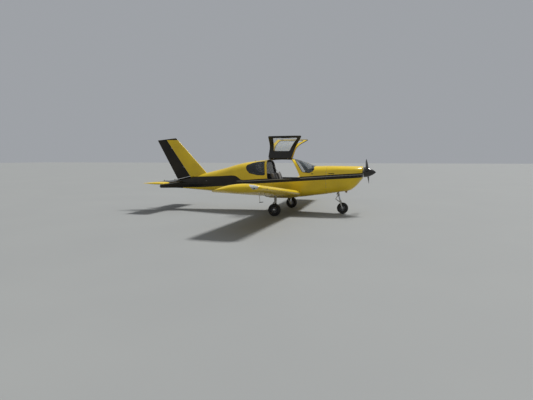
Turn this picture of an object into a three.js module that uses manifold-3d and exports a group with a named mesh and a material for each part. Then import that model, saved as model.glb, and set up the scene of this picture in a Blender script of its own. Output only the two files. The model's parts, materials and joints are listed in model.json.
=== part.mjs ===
import * as THREE from 'three';
import { mergeVertices } from 'three/addons/utils/BufferGeometryUtils.js';
import Module from 'manifold-3d';

const wasm = await Module();
wasm.setup();

// Overall sizes in millimetres. A station is a distance aft of the spinner's tip.
// +X points to the nose, +Y to the left wing tip and +Z up. The origin lies on the ground,
// under the middle of the overall length.
const LENGTH = 7700;
const HALF_SPAN = 4885;
const TRACK = 2330;
const NOSE_AXLE_STATION = 1020;
const WHEELBASE = 1960;
const SEAT_GAP = 0.3;
const RUNNING_GAP = 6;
const BORE_GAP = 0.7;
const PIN_RADIUS = 8;

// Fuselage
const COWL_SPLIT_Z = 1255;
const FIREWALL = 1490;
const FRONT_END = 2200;
const BOOM_START = 4780;
const CONE_START = 6700;
const HULL_END = 7665;
const SILL_Z = 1130;
const COWL_WALL = 10;
const CABIN_WALL = 26;
const BOOM_WALL = 10;
const FIREWALL_THICKNESS = 12;
const BAGGAGE_WALL = 4560;
const BULKHEAD_THICKNESS = 20;
const GLASS_THICKNESS = 6;

// Engine and propeller
const SHAFT_Z = 1345;
const SPINNER_RADIUS = 160;
const SPINNER_BASE = 372;
const SPINNER_WALL = 8;
const PROPELLER_RADIUS = 940;
const BLADE_TILT = THREE.MathUtils.degToRad(24.5);
const BLADE_STATION = 262;
const ENGINE_FLOOR = 1060;
const ENGINE = { front: 660, rear: 1290, halfWidth: 310, top: 1420, crankRadius: 45 };
const ENGINE_MOUNT = { heights: [1080, 1380], start: 1280, innerY: 200, outerY: 300, radius: 16 };
const EXHAUST = { foot: [905, -150, 700], head: [790, -150, 1080], radius: 34 };

// Doors
const HINGE_Y = 80;
const HINGE_Z = 1773;
const DOOR_OPEN_RIGHT = THREE.MathUtils.degToRad(107);
const DOOR_OPEN_LEFT = THREE.MathUtils.degToRad(99);
const DOOR_GAP = 8;

// Wing
const CHORD = 1220;
const WING_ROOT_Y = 620;
const WING_ROOT_LEAD = 2270;
const WING_ROOT_Z = 690;
const DIHEDRAL = THREE.MathUtils.degToRad(6);
const INCIDENCE = THREE.MathUtils.degToRad(5.5);
const TIP_LENGTH = 260;
const HINGE_CHORD = 0.79;
const FLAP_SPAN = [140, 2480];
const AILERON_SPAN = [2500, 3960];
const WING_BURIED = 190;

// Tail
const FIN_SWEEP_AXIS = { bottom: [6430, 1130], top: [7365, 2440] };
const STABILATOR_HALF_SPAN = 1600;
const STABILATOR_CHORD = 800;
const STABILATOR_PIVOT = [6805, 965];
const TORQUE_TUBE = { radius: 30, half: 300 };

// Wheels
const MAIN_TYRE_RADIUS = 193;
const MAIN_TYRE_WIDTH = 155;
const NOSE_TYRE_RADIUS = 180;
const NOSE_TYRE_WIDTH = 125;
const WHEEL_SIDES = 28;

const at = (station) => LENGTH / 2 - station;
const V3 = (x, y, z) => new THREE.Vector3(x, y, z);
const V2 = (x, y) => new THREE.Vector2(x, y);
const LEFT = 1;
const RIGHT = -1;
const SIDES = [['left', LEFT], ['right', RIGHT]];

const PAINTS = {
  yellow: [0xe8b90a, 0.35, 0.0],
  black: [0x141416, 0.4, 0.0],
  dark: [0x2a2b2d, 0.7, 0.0],
  glass: [0x9fb4bd, 0.05, 0.0],
  metal: [0x9a9ca0, 0.4, 0.9],
  white: [0xd8d8d4, 0.45, 0.0],
  rubber: [0x1b1b1b, 0.9, 0.0],
  fabric: [0x4a4038, 0.95, 0.0],
  iron: [0x55565a, 0.6, 0.6],
};

const aircraft = new THREE.Group();

function paint(name) {
  const [color, roughness, metalness] = PAINTS[name];
  return new THREE.MeshStandardMaterial({ color, roughness, metalness });
}

// A closed solid from a geometry, with its faces turned outwards
function solid(geometry) {
  const bare = geometry.clone();
  bare.deleteAttribute('normal');
  bare.deleteAttribute('uv');
  const merged = mergeVertices(bare, 1e-3);
  const triVerts = new Uint32Array(merged.index.array);
  const vertProperties = new Float32Array(merged.attributes.position.array);
  if (signedVolume(vertProperties, triVerts) < 0) {
    for (let i = 0; i < triVerts.length; i += 3) {
      [triVerts[i], triVerts[i + 1]] = [triVerts[i + 1], triVerts[i]];
    }
  }
  return new wasm.Manifold(new wasm.Mesh({ numProp: 3, vertProperties, triVerts }));
}

function signedVolume(points, triangles) {
  let sum = 0;
  const [a, b, c] = [V3(), V3(), V3()];
  for (let i = 0; i < triangles.length; i += 3) {
    a.fromArray(points, 3 * triangles[i]);
    b.fromArray(points, 3 * triangles[i + 1]);
    c.fromArray(points, 3 * triangles[i + 2]);
    sum += a.dot(b.cross(c));
  }
  return sum;
}

function toGeometry(body) {
  const { vertProperties, triVerts } = body.getMesh();
  const geometry = new THREE.BufferGeometry();
  geometry.setAttribute('position', new THREE.BufferAttribute(vertProperties, 3));
  geometry.setIndex(new THREE.BufferAttribute(triVerts, 1));
  return geometry;
}

function piece(name, body, paintName, parent = aircraft) {
  const mesh = new THREE.Mesh(toGeometry(body), paint(paintName));
  mesh.name = name;
  parent.add(mesh);
  return mesh;
}

// A solid skinned over rings of equally many points, closed by a fan at each end
function loft(rings) {
  const count = rings[0].length;
  const points = rings.flat();
  const index = [];
  for (let r = 0; r + 1 < rings.length; r += 1) {
    for (let i = 0; i < count; i += 1) {
      const j = (i + 1) % count;
      const [a, b] = [r * count + i, r * count + j];
      index.push(a, b, b + count, a, b + count, a + count);
    }
  }
  const ends = [[rings[0], 0, -1], [rings.at(-1), (rings.length - 1) * count, 1]];
  for (const [ring, first, turn] of ends) {
    const middle = ring.reduce((sum, p) => sum.add(p), V3(0, 0, 0)).divideScalar(count);
    const hub = points.push(middle) - 1;
    for (let i = 0; i < count; i += 1) {
      const [a, b] = [first + i, first + ((i + 1) % count)];
      index.push(...(turn > 0 ? [a, b, hub] : [b, a, hub]));
    }
  }
  const geometry = new THREE.BufferGeometry().setFromPoints(points);
  geometry.setIndex(index);
  return solid(geometry);
}

function box(x0, x1, y0, y1, z0, z1) {
  const geometry = new THREE.BoxGeometry(x1 - x0, y1 - y0, z1 - z0);
  geometry.translate((x0 + x1) / 2, (y0 + y1) / 2, (z0 + z1) / 2);
  return solid(geometry);
}

// A round bar between two points
function rod(from, to, radius, endRadius = radius, sides = 14) {
  const geometry = new THREE.CylinderGeometry(endRadius, radius, from.distanceTo(to), sides);
  const turn = new THREE.Quaternion().setFromUnitVectors(V3(0, 1, 0), to.clone().sub(from).normalize());
  geometry.applyQuaternion(turn);
  const middle = from.clone().add(to).multiplyScalar(0.5);
  geometry.translate(middle.x, middle.y, middle.z);
  return solid(geometry);
}

// A plate of a given outline in stations and heights, thick along Y
function sidePlate(outline, y0, y1) {
  const shape = new THREE.Shape(outline.map(([station, z]) => V2(at(station), z)));
  const geometry = new THREE.ExtrudeGeometry(shape, { depth: y1 - y0, bevelEnabled: false });
  geometry.rotateX(Math.PI / 2);
  geometry.translate(0, y1, 0);
  return solid(geometry);
}

// A turned solid about the Y axis
function turned(profile, sides) {
  const geometry = new THREE.LatheGeometry(profile.map(([r, y]) => V2(r, y)), sides);
  return solid(geometry);
}

// Fuselage sections. The crown runs to the eave, round a soft corner to the belt, where the
// body is widest, and round the chine to the flat belly.
const HULL_COLUMNS = [
  'station', 'crown', 'eaveY', 'eaveZ', 'beltY', 'beltZ', 'chineY', 'belly', 'soft', 'softLow',
];
const HULL = [
  [400, 1530, 315, 1512, 375, 1345, 300, 1150, 0.7, 0.75],
  [480, 1532, 365, 1514, 430, 1340, 340, 1050, 0.65, 0.7],
  [600, 1534, 405, 1517, 478, 1325, 385, 905, 0.6, 0.65],
  [800, 1537, 440, 1522, 528, 1295, 430, 768, 0.55, 0.6],
  [1140, 1541, 465, 1526, 575, 1235, 465, 712, 0.5, 0.55],
  [1490, 1542, 480, 1524, 612, 1170, 495, 652, 0.5, 0.5],
  [1860, 1535, 500, 1515, 645, 1110, 520, 604, 0.48, 0.48],
  [1990, 1560, 505, 1540, 652, 1090, 530, 585, 0.46, 0.46],
  [2270, 1668, 500, 1638, 664, 1060, 545, 550, 0.42, 0.44],
  [2600, 1752, 492, 1708, 670, 1040, 550, 530, 0.36, 0.42],
  [3000, 1766, 490, 1720, 670, 1030, 550, 528, 0.34, 0.42],
  [3440, 1742, 486, 1694, 666, 1025, 545, 535, 0.36, 0.42],
  [3900, 1692, 460, 1640, 648, 1020, 520, 556, 0.42, 0.44],
  [4320, 1638, 425, 1580, 606, 1010, 480, 582, 0.48, 0.48],
  [4660, 1560, 385, 1500, 555, 1000, 435, 605, 0.52, 0.52],
  [5000, 1462, 335, 1404, 495, 985, 385, 624, 0.56, 0.56],
  [5400, 1362, 272, 1306, 415, 970, 318, 646, 0.6, 0.6],
  [5850, 1258, 205, 1210, 325, 950, 245, 672, 0.6, 0.6],
  [6420, 1124, 128, 1090, 222, 925, 158, 705, 0.6, 0.6],
  [6700, 1060, 100, 1034, 178, 910, 122, 720, 0.6, 0.6],
  [7000, 988, 78, 968, 138, 880, 92, 722, 0.6, 0.6],
  [7350, 915, 60, 900, 102, 830, 70, 712, 0.65, 0.65],
  [7600, 860, 44, 848, 72, 785, 50, 706, 0.75, 0.75],
  [7665, 812, 22, 804, 36, 768, 24, 722, 0.8, 0.8],
];
const CORNER_STEPS = 4;

function hullSection(row, inset, shift = 0) {
  const c = Object.fromEntries(HULL_COLUMNS.map((name, i) => [name, row[i]]));
  const crown = V2(0, c.crown - inset);
  const eave = V2(c.eaveY - inset, c.eaveZ - inset);
  const belt = V2(c.beltY - inset, c.beltZ);
  const chine = V2(c.chineY - inset, c.belly + inset);
  const keel = V2(0, c.belly + inset);
  const corner = (a, b, d, soft) =>
    new THREE.QuadraticBezierCurve(b.clone().lerp(a, soft), b, b.clone().lerp(d, soft))
      .getPoints(CORNER_STEPS);
  const half = [...corner(crown, eave, belt, c.soft), belt, ...corner(belt, chine, keel, c.softLow)];
  const mirrored = half.map((p) => V2(-p.x, p.y)).reverse();
  return [crown, ...half, keel, ...mirrored].map((p) => V3(at(c.station + shift), p.x, p.y));
}

function hull(inset, first = 0, last = HULL.length) {
  const rows = HULL.slice(first, last);
  return loft(rows.map((row, i) => {
    const end = i === 0 ? 1 : i === rows.length - 1 ? -1 : 0;
    return hullSection(row, inset, end * inset);
  }));
}

const WIDE = 1200;
const TALL = 2600;
const between = (s0, s1, z0 = 0, z1 = TALL) => box(at(s1), at(s0), -WIDE, WIDE, z0, z1);
const outer = hull(0);
const clearHull = hull(-SEAT_GAP * 2);
const aheadOfFirewall = between(0, FIREWALL - SEAT_GAP);
const cowlSkin = outer.subtract(hull(COWL_WALL));
const cabinSkin = outer.subtract(hull(CABIN_WALL));
const boomSkin = outer.subtract(hull(BOOM_WALL));

// A solid between two slanted planes, each through three points, on one side of the body
function planeStation([a, b, c], y, z) {
  const normal = b.clone().sub(a).cross(c.clone().sub(a));
  return (normal.dot(a) - normal.y * y - normal.z * z) / normal.x;
}

function slantedBlock(front, rear, side, y0, y1, z0, z1, grow = 0) {
  const mirror = (p) => V3(at(p[0]), side * p[1], p[2]);
  const [ya, yb, za, zb] = [y0 - grow, y1 + grow, z0 - grow, z1 + grow];
  const corners = [[ya, za], [yb, za], [yb, zb], [ya, zb]];
  const ring = (points, shift) => corners.map(([y, z]) =>
    V3(planeStation(points.map(mirror), side * y, z) + shift, side * y, z));
  return loft([ring(front, grow), ring(rear, -grow)]);
}

// Door edges as planes through three points (station, y, z) at the sill, shoulder and roof
const DOOR_FRONT = [[2264, 640, SILL_Z], [2565, 452, 1690], [2700, HINGE_Y, 1752]];
const DOOR_REAR = [[3378, 640, SILL_Z], [3450, 452, 1690], [3492, HINGE_Y, 1742]];
const PANE_FRONT = [[2385, 620, 1220], [2655, 480, 1625], [2745, 300, 1700]];
const PANE_REAR = [[3252, 620, 1220], [3318, 480, 1625], [3345, 300, 1700]];
const PANE_LOW = 1220;
const PANE_INNER_Y = 310;

// Roof hinges: a knuckle on the roof spine beside a knuckle on the door, both on the hinge line
const KNUCKLE = { stations: [2780, 3270], length: 34, radius: 9, innerY: 60, baseZ: 1735 };
const KNUCKLE_WEB = { y: 122, z: 1738, radius: 8, foot: 12 };
const knuckle = (station, side) => {
  const ends = [0, KNUCKLE.length].map((d) => V3(at(station + d), side * HINGE_Y, HINGE_Z));
  return rod(ends[0], ends[1], KNUCKLE.radius, KNUCKLE.radius, 12);
};

function spineKnuckles(side) {
  return KNUCKLE.stations.map((station) => {
    const [a, b] = [side * KNUCKLE.innerY, side * HINGE_Y].sort((p, q) => p - q);
    const base = box(at(station + KNUCKLE.length), at(station), a, b, KNUCKLE.baseZ, HINGE_Z);
    return knuckle(station, side).add(base);
  });
}

function doorKnuckles(side) {
  return KNUCKLE.stations.map((station) => {
    const start = station + KNUCKLE.length + SEAT_GAP;
    const middle = at(start + KNUCKLE.length / 2);
    const foot = V3(middle, side * KNUCKLE_WEB.y, KNUCKLE_WEB.z);
    const web = rod(V3(middle, side * HINGE_Y, HINGE_Z), foot, KNUCKLE_WEB.radius, KNUCKLE_WEB.foot, 10);
    return knuckle(start, side).add(web);
  });
}

const doorOpening = (side) =>
  slantedBlock(DOOR_FRONT, DOOR_REAR, side, HINGE_Y, WIDE, SILL_Z, TALL);
const doorOutline = (side) =>
  slantedBlock(DOOR_FRONT, DOOR_REAR, side, HINGE_Y, WIDE, SILL_Z, TALL, -DOOR_GAP);
const doorPane = (side, grow) =>
  slantedBlock(PANE_FRONT, PANE_REAR, side, PANE_INNER_Y, WIDE, PANE_LOW, TALL, grow);

// Windscreen: the wrapped lower edge in side view, and the slanted rear edge
const SCREEN_FRONT = [
  [1885, 1900], [1885, 1420], [1905, 1372], [2015, 1318], [2235, 1342], [2700, 1342], [2700, 1900],
];
const SCREEN_REAR = [[2235, 600, 1342], [2465, 470, 1670], [2620, 0, 1752]];
function screenCutter(grow) {
  const outline = SCREEN_FRONT.map(([s, z]) => [s - (s < 2300 ? grow : 0), z - (z < 1800 ? grow : 0)]);
  const ahead = [[1500, 600, 1342], [1500, 470, 1670], [1500, 0, 1752]];
  const block = (side) => slantedBlock(ahead, SCREEN_REAR, side, -2, WIDE, 1200, TALL, grow);
  return sidePlate(outline, -WIDE, WIDE).intersect(block(LEFT).add(block(RIGHT)));
}

// Rear side window in side view
const REAR_PANE = [
  [3458, 1228], [3720, 1234], [4010, 1292], [4120, 1394], [4158, 1482], [4138, 1562], [3955, 1628],
  [3764, 1668], [3520, 1688],
];
const REAR_PANE_CENTRE = [3800, 1460];
const REAR_PANE_INNER_Y = 250;
function rearPane(side, grow) {
  const outline = REAR_PANE.map(([s, z]) => {
    const away = V2(s - REAR_PANE_CENTRE[0], z - REAR_PANE_CENTRE[1]).normalize().multiplyScalar(grow);
    return [s + away.x, z + away.y];
  });
  const [y0, y1] = [side * REAR_PANE_INNER_Y, side * WIDE].sort((p, q) => p - q);
  return sidePlate(outline, y0, y1);
}

const SPINNER_HOLE = SPINNER_RADIUS + 8;
const INLET = { y: 268, half: 62, low: SHAFT_Z - 52, high: SHAFT_Z + 58 };
const NOSE_WELL = { station: [1000, 1300], y: 75 };
const AIR_OUTLET = { station: [1390, 1480], y: 330 };
const EXHAUST_CLEARANCE = 18;

const exhaustEnds = () => [EXHAUST.foot, EXHAUST.head].map(([station, y, z]) => V3(at(station), y, z));

function cowlHoles() {
  const hole = rod(V3(at(300), 0, SHAFT_Z), V3(at(470), 0, SHAFT_Z), SPINNER_HOLE, SPINNER_HOLE, 40);
  const inlets = [-INLET.y, INLET.y].map((y) =>
    box(at(500), at(300), y - INLET.half, y + INLET.half, INLET.low, INLET.high));
  const below = ({ station, y }) => box(at(station[1]), at(station[0]), -y, y, 0, ENGINE_FLOOR - 60);
  const stub = rod(...exhaustEnds(), EXHAUST.radius + EXHAUST_CLEARANCE);
  return [hole, ...inlets, below(NOSE_WELL), below(AIR_OUTLET), stub];
}

function buildCowls() {
  const skin = cowlHoles().reduce((body, hole) => body.subtract(hole), cowlSkin);
  const cut = FIREWALL - SEAT_GAP;
  piece('cowl_upper', skin.intersect(between(0, cut, COWL_SPLIT_Z + SEAT_GAP / 2)), 'yellow');
  piece('cowl_lower', skin.intersect(between(0, cut, 0, COWL_SPLIT_Z - SEAT_GAP / 2)), 'yellow');
}

function buildFuselage() {
  const wall = hull(CABIN_WALL + SEAT_GAP);
  const plate = wall.intersect(between(FIREWALL, FIREWALL + FIREWALL_THICKNESS));
  piece('firewall', plate, 'metal');

  const screenHole = screenCutter(0);
  const front = cabinSkin.intersect(between(FIREWALL, FRONT_END - SEAT_GAP)).subtract(screenHole);
  piece('fuselage_front', front, 'yellow');

  const tub = cabinSkin.intersect(between(FRONT_END, BOOM_START, 0, SILL_Z - SEAT_GAP));
  const bulkhead = wall.intersect(between(BAGGAGE_WALL, BAGGAGE_WALL + BULKHEAD_THICKNESS));
  piece('cabin_tub', tub, 'yellow');
  piece('baggage_wall', bulkhead, 'dark');

  let top = cabinSkin.intersect(between(FRONT_END, BOOM_START, SILL_Z)).subtract(screenHole);
  for (const [, side] of SIDES) {
    top = top.subtract(doorOpening(side)).subtract(rearPane(side, 0));
    for (const lug of spineKnuckles(side)) top = top.add(lug);
  }
  piece('cabin_top', top, 'yellow');

  piece('tail_boom', boomSkin.intersect(between(BOOM_START + SEAT_GAP, CONE_START)), 'yellow');
  const [pivot, height] = STABILATOR_PIVOT;
  const boreRadius = TORQUE_TUBE.radius + BORE_GAP;
  const bore = rod(V3(at(pivot), -WIDE, height), V3(at(pivot), WIDE, height), boreRadius, boreRadius, 24);
  const cone = boomSkin.intersect(between(CONE_START + SEAT_GAP, HULL_END + 100));
  piece('tail_cone', cone.subtract(bore), 'black');
}

function buildGlass() {
  const film = outer.subtract(hull(GLASS_THICKNESS));
  piece('windscreen', film.intersect(screenCutter(-SEAT_GAP)), 'glass');
  for (const [name, side] of SIDES) {
    piece(`rear_window_${name}`, film.intersect(rearPane(side, -SEAT_GAP)), 'glass');
  }
  return film;
}

// Each door is made closed and then swung open about its roof hinge
function buildDoors(film) {
  const angles = { left: DOOR_OPEN_LEFT, right: DOOR_OPEN_RIGHT };
  for (const [name, side] of SIDES) {
    const hinge = new THREE.Group();
    hinge.position.set(0, side * HINGE_Y, HINGE_Z);
    hinge.rotation.x = side * angles[name];
    const closed = new THREE.Group();
    closed.position.set(0, -side * HINGE_Y, -HINGE_Z);
    hinge.add(closed);
    aircraft.add(hinge);
    const panel = cabinSkin.intersect(doorOutline(side)).subtract(doorPane(side, 0));
    const frame = doorKnuckles(side).reduce((body, lug) => body.add(lug), panel);
    piece(`door_${name}`, frame, 'yellow', closed);
    piece(`door_glass_${name}`, film.intersect(doorPane(side, -SEAT_GAP)), 'glass', closed);
  }
}

// Wing sections: a cambered section of four-digit form, drawn from the trailing edge round the nose
const SECTION_STEPS = 11;
function foil(thickness, camber, count = SECTION_STEPS) {
  const upper = [];
  const lower = [];
  for (let i = 0; i <= count; i += 1) {
    const x = (1 + Math.cos((Math.PI * i) / count)) / 2;
    const half = 5 * thickness * (0.2969 * Math.sqrt(x) - 0.126 * x - 0.3516 * x ** 2 + 0.2843 * x ** 3
      - 0.1015 * x ** 4) + 0.0012 * x;
    const mean = x < 0.4 ? (camber / 0.16) * (0.8 * x - x * x) : (camber / 0.36) * (0.2 + 0.8 * x - x * x);
    upper.push(V2(x, mean + half));
    lower.push(V2(x, mean - half));
  }
  return [...upper, ...lower.reverse().slice(1)];
}

const WING_DEPTH = 0.155;
const WING_CAMBER = 0.018;
const WING_FOIL = foil(WING_DEPTH, WING_CAMBER);
const TAIL_FOIL = foil(0.10, 0, 8);

// A ring of a wing section at a distance out along the span
function foilRing(section, side, y, lead, chord, lift = 0, thick = 1) {
  return section.map((p) => V3(-(lead + p.x * chord), side * y, lift + p.y * chord * thick));
}

function wingFrame(side) {
  const frame = new THREE.Group();
  frame.position.set(at(WING_ROOT_LEAD), side * WING_ROOT_Y, WING_ROOT_Z);
  frame.rotation.set(side * DIHEDRAL, -INCIDENCE, 0);
  frame.updateMatrix();
  aircraft.add(frame);
  return frame;
}

// Where the hinge line runs, and half the wing's depth there
const hingeAft = HINGE_CHORD * CHORD;
const FINE_STEPS = 40;
const fineFoil = foil(WING_DEPTH, WING_CAMBER, FINE_STEPS);
const depthAt = (x) => {
  const [top, low] = [fineFoil.slice(0, FINE_STEPS + 1), fineFoil.slice(FINE_STEPS + 1)].map((list) =>
    list.reduce((best, p) => (Math.abs(p.x - x) < Math.abs(best.x - x) ? p : best)));
  return { half: ((top.y - low.y) / 2) * CHORD, middle: ((top.y + low.y) / 2) * CHORD };
};
const HINGE_DEPTH = depthAt(HINGE_CHORD);
const NOSE_RADIUS = HINGE_DEPTH.half - 1;

// A hinged surface behind the wing: a round nose on the hinge line and the wing's own tail
function hingedSurface(side, [y0, y1]) {
  const nose = rod(V3(-hingeAft, side * y0, HINGE_DEPTH.middle),
    V3(-hingeAft, side * y1, HINGE_DEPTH.middle), NOSE_RADIUS, NOSE_RADIUS, 24);
  const tail = loft([y0, y1].map((y) => foilRing(WING_FOIL, side, y, 0, CHORD)));
  const aft = box(-CHORD - 50, -hingeAft, -6000, 6000, -200, 300);
  const reach = RUNNING_GAP - SEAT_GAP;
  const pin = rod(V3(-hingeAft, side * (y0 - reach), HINGE_DEPTH.middle),
    V3(-hingeAft, side * (y1 + reach), HINGE_DEPTH.middle), PIN_RADIUS, PIN_RADIUS, 10);
  return nose.add(tail.intersect(aft)).add(pin);
}

const TIP_ROWS = [
  // out, lead, chord, lift, thick
  [0, 0, 1, 0, 1],
  [0.4, 0.012, 0.985, 0.004, 0.94],
  [0.68, 0.05, 0.93, 0.012, 0.78],
  [0.86, 0.12, 0.83, 0.02, 0.56],
  [0.96, 0.22, 0.69, 0.026, 0.32],
  [1.0, 0.32, 0.54, 0.03, 0.14],
];

// How far out along the wing the tip's last ring lies, so that its lowest point ends the span
function tipReach() {
  const [, lead, chord, lift, thick] = TIP_ROWS.at(-1);
  const lowest = CHORD * Math.min(...WING_FOIL.map((p) =>
    (lift + p.y * chord * thick) * Math.cos(INCIDENCE) - (lead + p.x * chord) * Math.sin(INCIDENCE)));
  return (TIP_LENGTH + lowest * Math.sin(DIHEDRAL)) / Math.cos(DIHEDRAL);
}

function buildWing(name, side) {
  const frame = wingFrame(side);
  const toLocal = frame.matrix.clone().invert();
  const blocking = solid(toGeometry(clearHull).applyMatrix4(toLocal));
  const tipStart = (HALF_SPAN - TIP_LENGTH - WING_ROOT_Y) / Math.cos(DIHEDRAL);
  let panel = loft([-WING_BURIED, tipStart - SEAT_GAP].map((y) => foilRing(WING_FOIL, side, y, 0, CHORD)));
  panel = panel.subtract(blocking);
  for (const [y0, y1] of [FLAP_SPAN, AILERON_SPAN]) {
    const [a, b] = [side * (y0 - RUNNING_GAP), side * (y1 + RUNNING_GAP)].sort((p, q) => p - q);
    panel = panel.subtract(box(-CHORD - 50, -hingeAft + NOSE_RADIUS + RUNNING_GAP, a, b, -300, 300));
  }
  piece(`wing_${name}`, panel, 'yellow', frame);
  const reach = tipReach();
  const tip = loft(TIP_ROWS.map(([out, lead, chord, lift, thick]) => foilRing(
    WING_FOIL, side, tipStart + out * reach, lead * CHORD, chord * CHORD, lift * CHORD, thick)));
  piece(`wing_tip_${name}`, tip, 'yellow', frame);
  piece(`flap_${name}`, hingedSurface(side, FLAP_SPAN), 'yellow', frame);
  piece(`aileron_${name}`, hingedSurface(side, AILERON_SPAN), 'yellow', frame);
}

// Upright surfaces: rings at heights, from a leading station and a trailing one
function uprightRing(z, lead, trail) {
  const chord = trail - lead;
  return TAIL_FOIL.map((p) => V3(at(lead + p.x * chord), p.y * chord, z));
}

const FIN_FOOT = { z: 1000, lead: 5520, trail: 6905 };
const FIN_CREST = { z: 2496, lead: 6951, trail: 7740 };
const FIN_TOP_AFT = 2425;
const FIN_HINGE_RADIUS = 26;
const RUDDER_FOOT = { hingeZ: 1150, aft: [6920, 1040] };
const RUDDER_NOSE = [1150, 2440];
const hingeStation = (z) => {
  const { bottom, top } = FIN_SWEEP_AXIS;
  return bottom[0] + ((z - bottom[1]) * (top[0] - bottom[0])) / (top[1] - bottom[1]);
};

// Rudder hinges: a knuckle on the fin in a notch of the rudder's nose, round the hinge line
const RUDDER_HINGE_HEIGHTS = [1480, 2150];
const HINGE_LEAN = Math.atan2(FIN_SWEEP_AXIS.top[0] - FIN_SWEEP_AXIS.bottom[0],
  FIN_SWEEP_AXIS.top[1] - FIN_SWEEP_AXIS.bottom[1]);
const LUG = { half: 14, radius: 16, web: 6, notch: 22 };

function onHingeLine(body, z) {
  const place = new THREE.Matrix4().makeRotationY(-HINGE_LEAN).setPosition(at(hingeStation(z)), 0, z);
  return solid(toGeometry(body).applyMatrix4(place));
}

const rudderLug = (z) => onHingeLine(
  rod(V3(0, 0, -LUG.half), V3(0, 0, LUG.half), LUG.radius)
    .add(box(0, 60, -LUG.web, LUG.web, -LUG.half, LUG.half)), z);
const rudderNotch = (z) => onHingeLine(
  rod(V3(0, 0, -LUG.half - SEAT_GAP), V3(0, 0, LUG.half + SEAT_GAP), LUG.notch)
    .add(box(-5, 80, -100, 100, -LUG.half - SEAT_GAP, LUG.half + SEAT_GAP)), z);

function buildFin() {
  const whole = loft([FIN_FOOT, FIN_CREST].map(({ z, lead, trail }) => uprightRing(z, lead, trail)));
  const crown = sidePlate([[FIN_CREST.lead - 300, FIN_CREST.z + 28], [LENGTH, FIN_TOP_AFT],
    [LENGTH, 0], [4000, 0], [4000, FIN_CREST.z + 28]], -WIDE, WIDE);
  const shaped = whole.intersect(crown);
  const gap = (FIN_HINGE_RADIUS + RUNNING_GAP) * 1.3;
  const fore = sidePlate([[4000, 0], [hingeStation(0) - gap, 0], [hingeStation(TALL) - gap, TALL],
    [4000, TALL]], -WIDE, WIDE);
  const post = shaped.intersect(fore).subtract(clearHull);
  piece('fin', RUDDER_HINGE_HEIGHTS.reduce((body, z) => body.add(rudderLug(z)), post), 'yellow');

  const axis = (z) => V3(at(hingeStation(z)), 0, z);
  const nose = rod(axis(RUDDER_NOSE[0]), axis(RUDDER_NOSE[1]), FIN_HINGE_RADIUS, FIN_HINGE_RADIUS * 0.8, 20);
  const aft = sidePlate([[hingeStation(RUDDER_FOOT.hingeZ), RUDDER_FOOT.hingeZ], RUDDER_FOOT.aft,
    [LENGTH + 100, RUDDER_FOOT.aft[1]], [LENGTH + 100, TALL], [hingeStation(TALL), TALL]], -WIDE, WIDE);
  const blade = nose.add(shaped.intersect(aft));
  piece('rudder', RUDDER_HINGE_HEIGHTS.reduce((body, z) => body.subtract(rudderNotch(z)), blade), 'black');
}

const STABILATOR_NOSE = 0.27;
const STABILATOR_ROWS = [
  // y, lead, chord, thick
  [225, 0, 1, 1],
  [1440, 0, 1, 1],
  [1540, 0.03, 0.95, 0.8],
  [1585, 0.1, 0.83, 0.5],
  [STABILATOR_HALF_SPAN, 0.2, 0.66, 0.2],
];

function buildStabilator() {
  const [station, height] = STABILATOR_PIVOT;
  const pivot = new THREE.Group();
  pivot.position.set(at(station), 0, height);
  aircraft.add(pivot);
  const ahead = STABILATOR_NOSE * STABILATOR_CHORD;
  const { radius, half: reach } = TORQUE_TUBE;
  let body = rod(V3(0, -reach, 0), V3(0, reach, 0), radius, radius, 24);
  for (const [, side] of SIDES) {
    const half = loft(STABILATOR_ROWS.map(([y, lead, chord, thick]) =>
      foilRing(TAIL_FOIL, side, y, lead * STABILATOR_CHORD - ahead, chord * STABILATOR_CHORD, 0, thick)));
    body = body.add(half);
  }
  piece('stabilator', body, 'yellow', pivot);
}

// Wheels: a tyre with rounded shoulders on a dished rim, turning about Y. The dish is given as
// parts of the rim's radius and of half the tyre's width.
const RIM_DISH = [[0.6, 0.5], [0.72, 0.2], [0.86, 0.2], [0.9, 0.66], [1, 0.66]];

function buildWheel(name, place, radius, width, boreRadius, parent = aircraft) {
  const wheel = new THREE.Group();
  wheel.position.copy(place);
  parent.add(wheel);
  const half = width / 2;
  const bead = radius * 0.5;
  const wall = [[bead, 0.62], [radius * 0.74, 1], [radius * 0.9, 0.86], [radius, 0.42]];
  const tyre = [...wall.map(([r, y]) => [r, -half * y]), ...wall.reverse().map(([r, y]) => [r, half * y])];
  piece(`${name}_tyre`, turned([...tyre, tyre[0]], WHEEL_SIDES), 'rubber', wheel);
  const seat = bead - SEAT_GAP;
  const dish = RIM_DISH.map(([r, y]) => [seat * r, half * y]);
  const hub = [boreRadius, half * 0.5];
  const rim = [[hub[0], -hub[1]], ...dish.map(([r, y]) => [r, -y]), ...dish.reverse(), hub];
  piece(`${name}_wheel`, turned([...rim, rim[0]], WHEEL_SIDES), 'white', wheel);
}

const AXLE_RADIUS = 18;
const MAIN_AXLE_STATION = NOSE_AXLE_STATION + WHEELBASE;
const MAIN_LEG = { inset: 128, headZ: 640, socketZ: 330, strut: 34, piston: 24, axleEnd: 50 };
const MAIN_KNUCKLE = { half: 32, radius: 36 };
const MAIN_LINK = { back: 120, root: 10, kneeZ: 320, topZ: 420, footZ: 225, radius: 13, kneeRadius: 11 };

// The wing's volume with a hair's gap below it, where the main leg ends
function wingVolume(side) {
  const place = V3(at(WING_ROOT_LEAD), side * WING_ROOT_Y, WING_ROOT_Z - SEAT_GAP * 1.5);
  const turn = new THREE.Quaternion().setFromEuler(new THREE.Euler(side * DIHEDRAL, -INCIDENCE, 0));
  const panel = loft([-WING_BURIED, 3000].map((y) => foilRing(WING_FOIL, side, y, 0, CHORD)));
  return solid(toGeometry(panel).applyMatrix4(new THREE.Matrix4().compose(place, turn, V3(1, 1, 1))));
}

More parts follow.
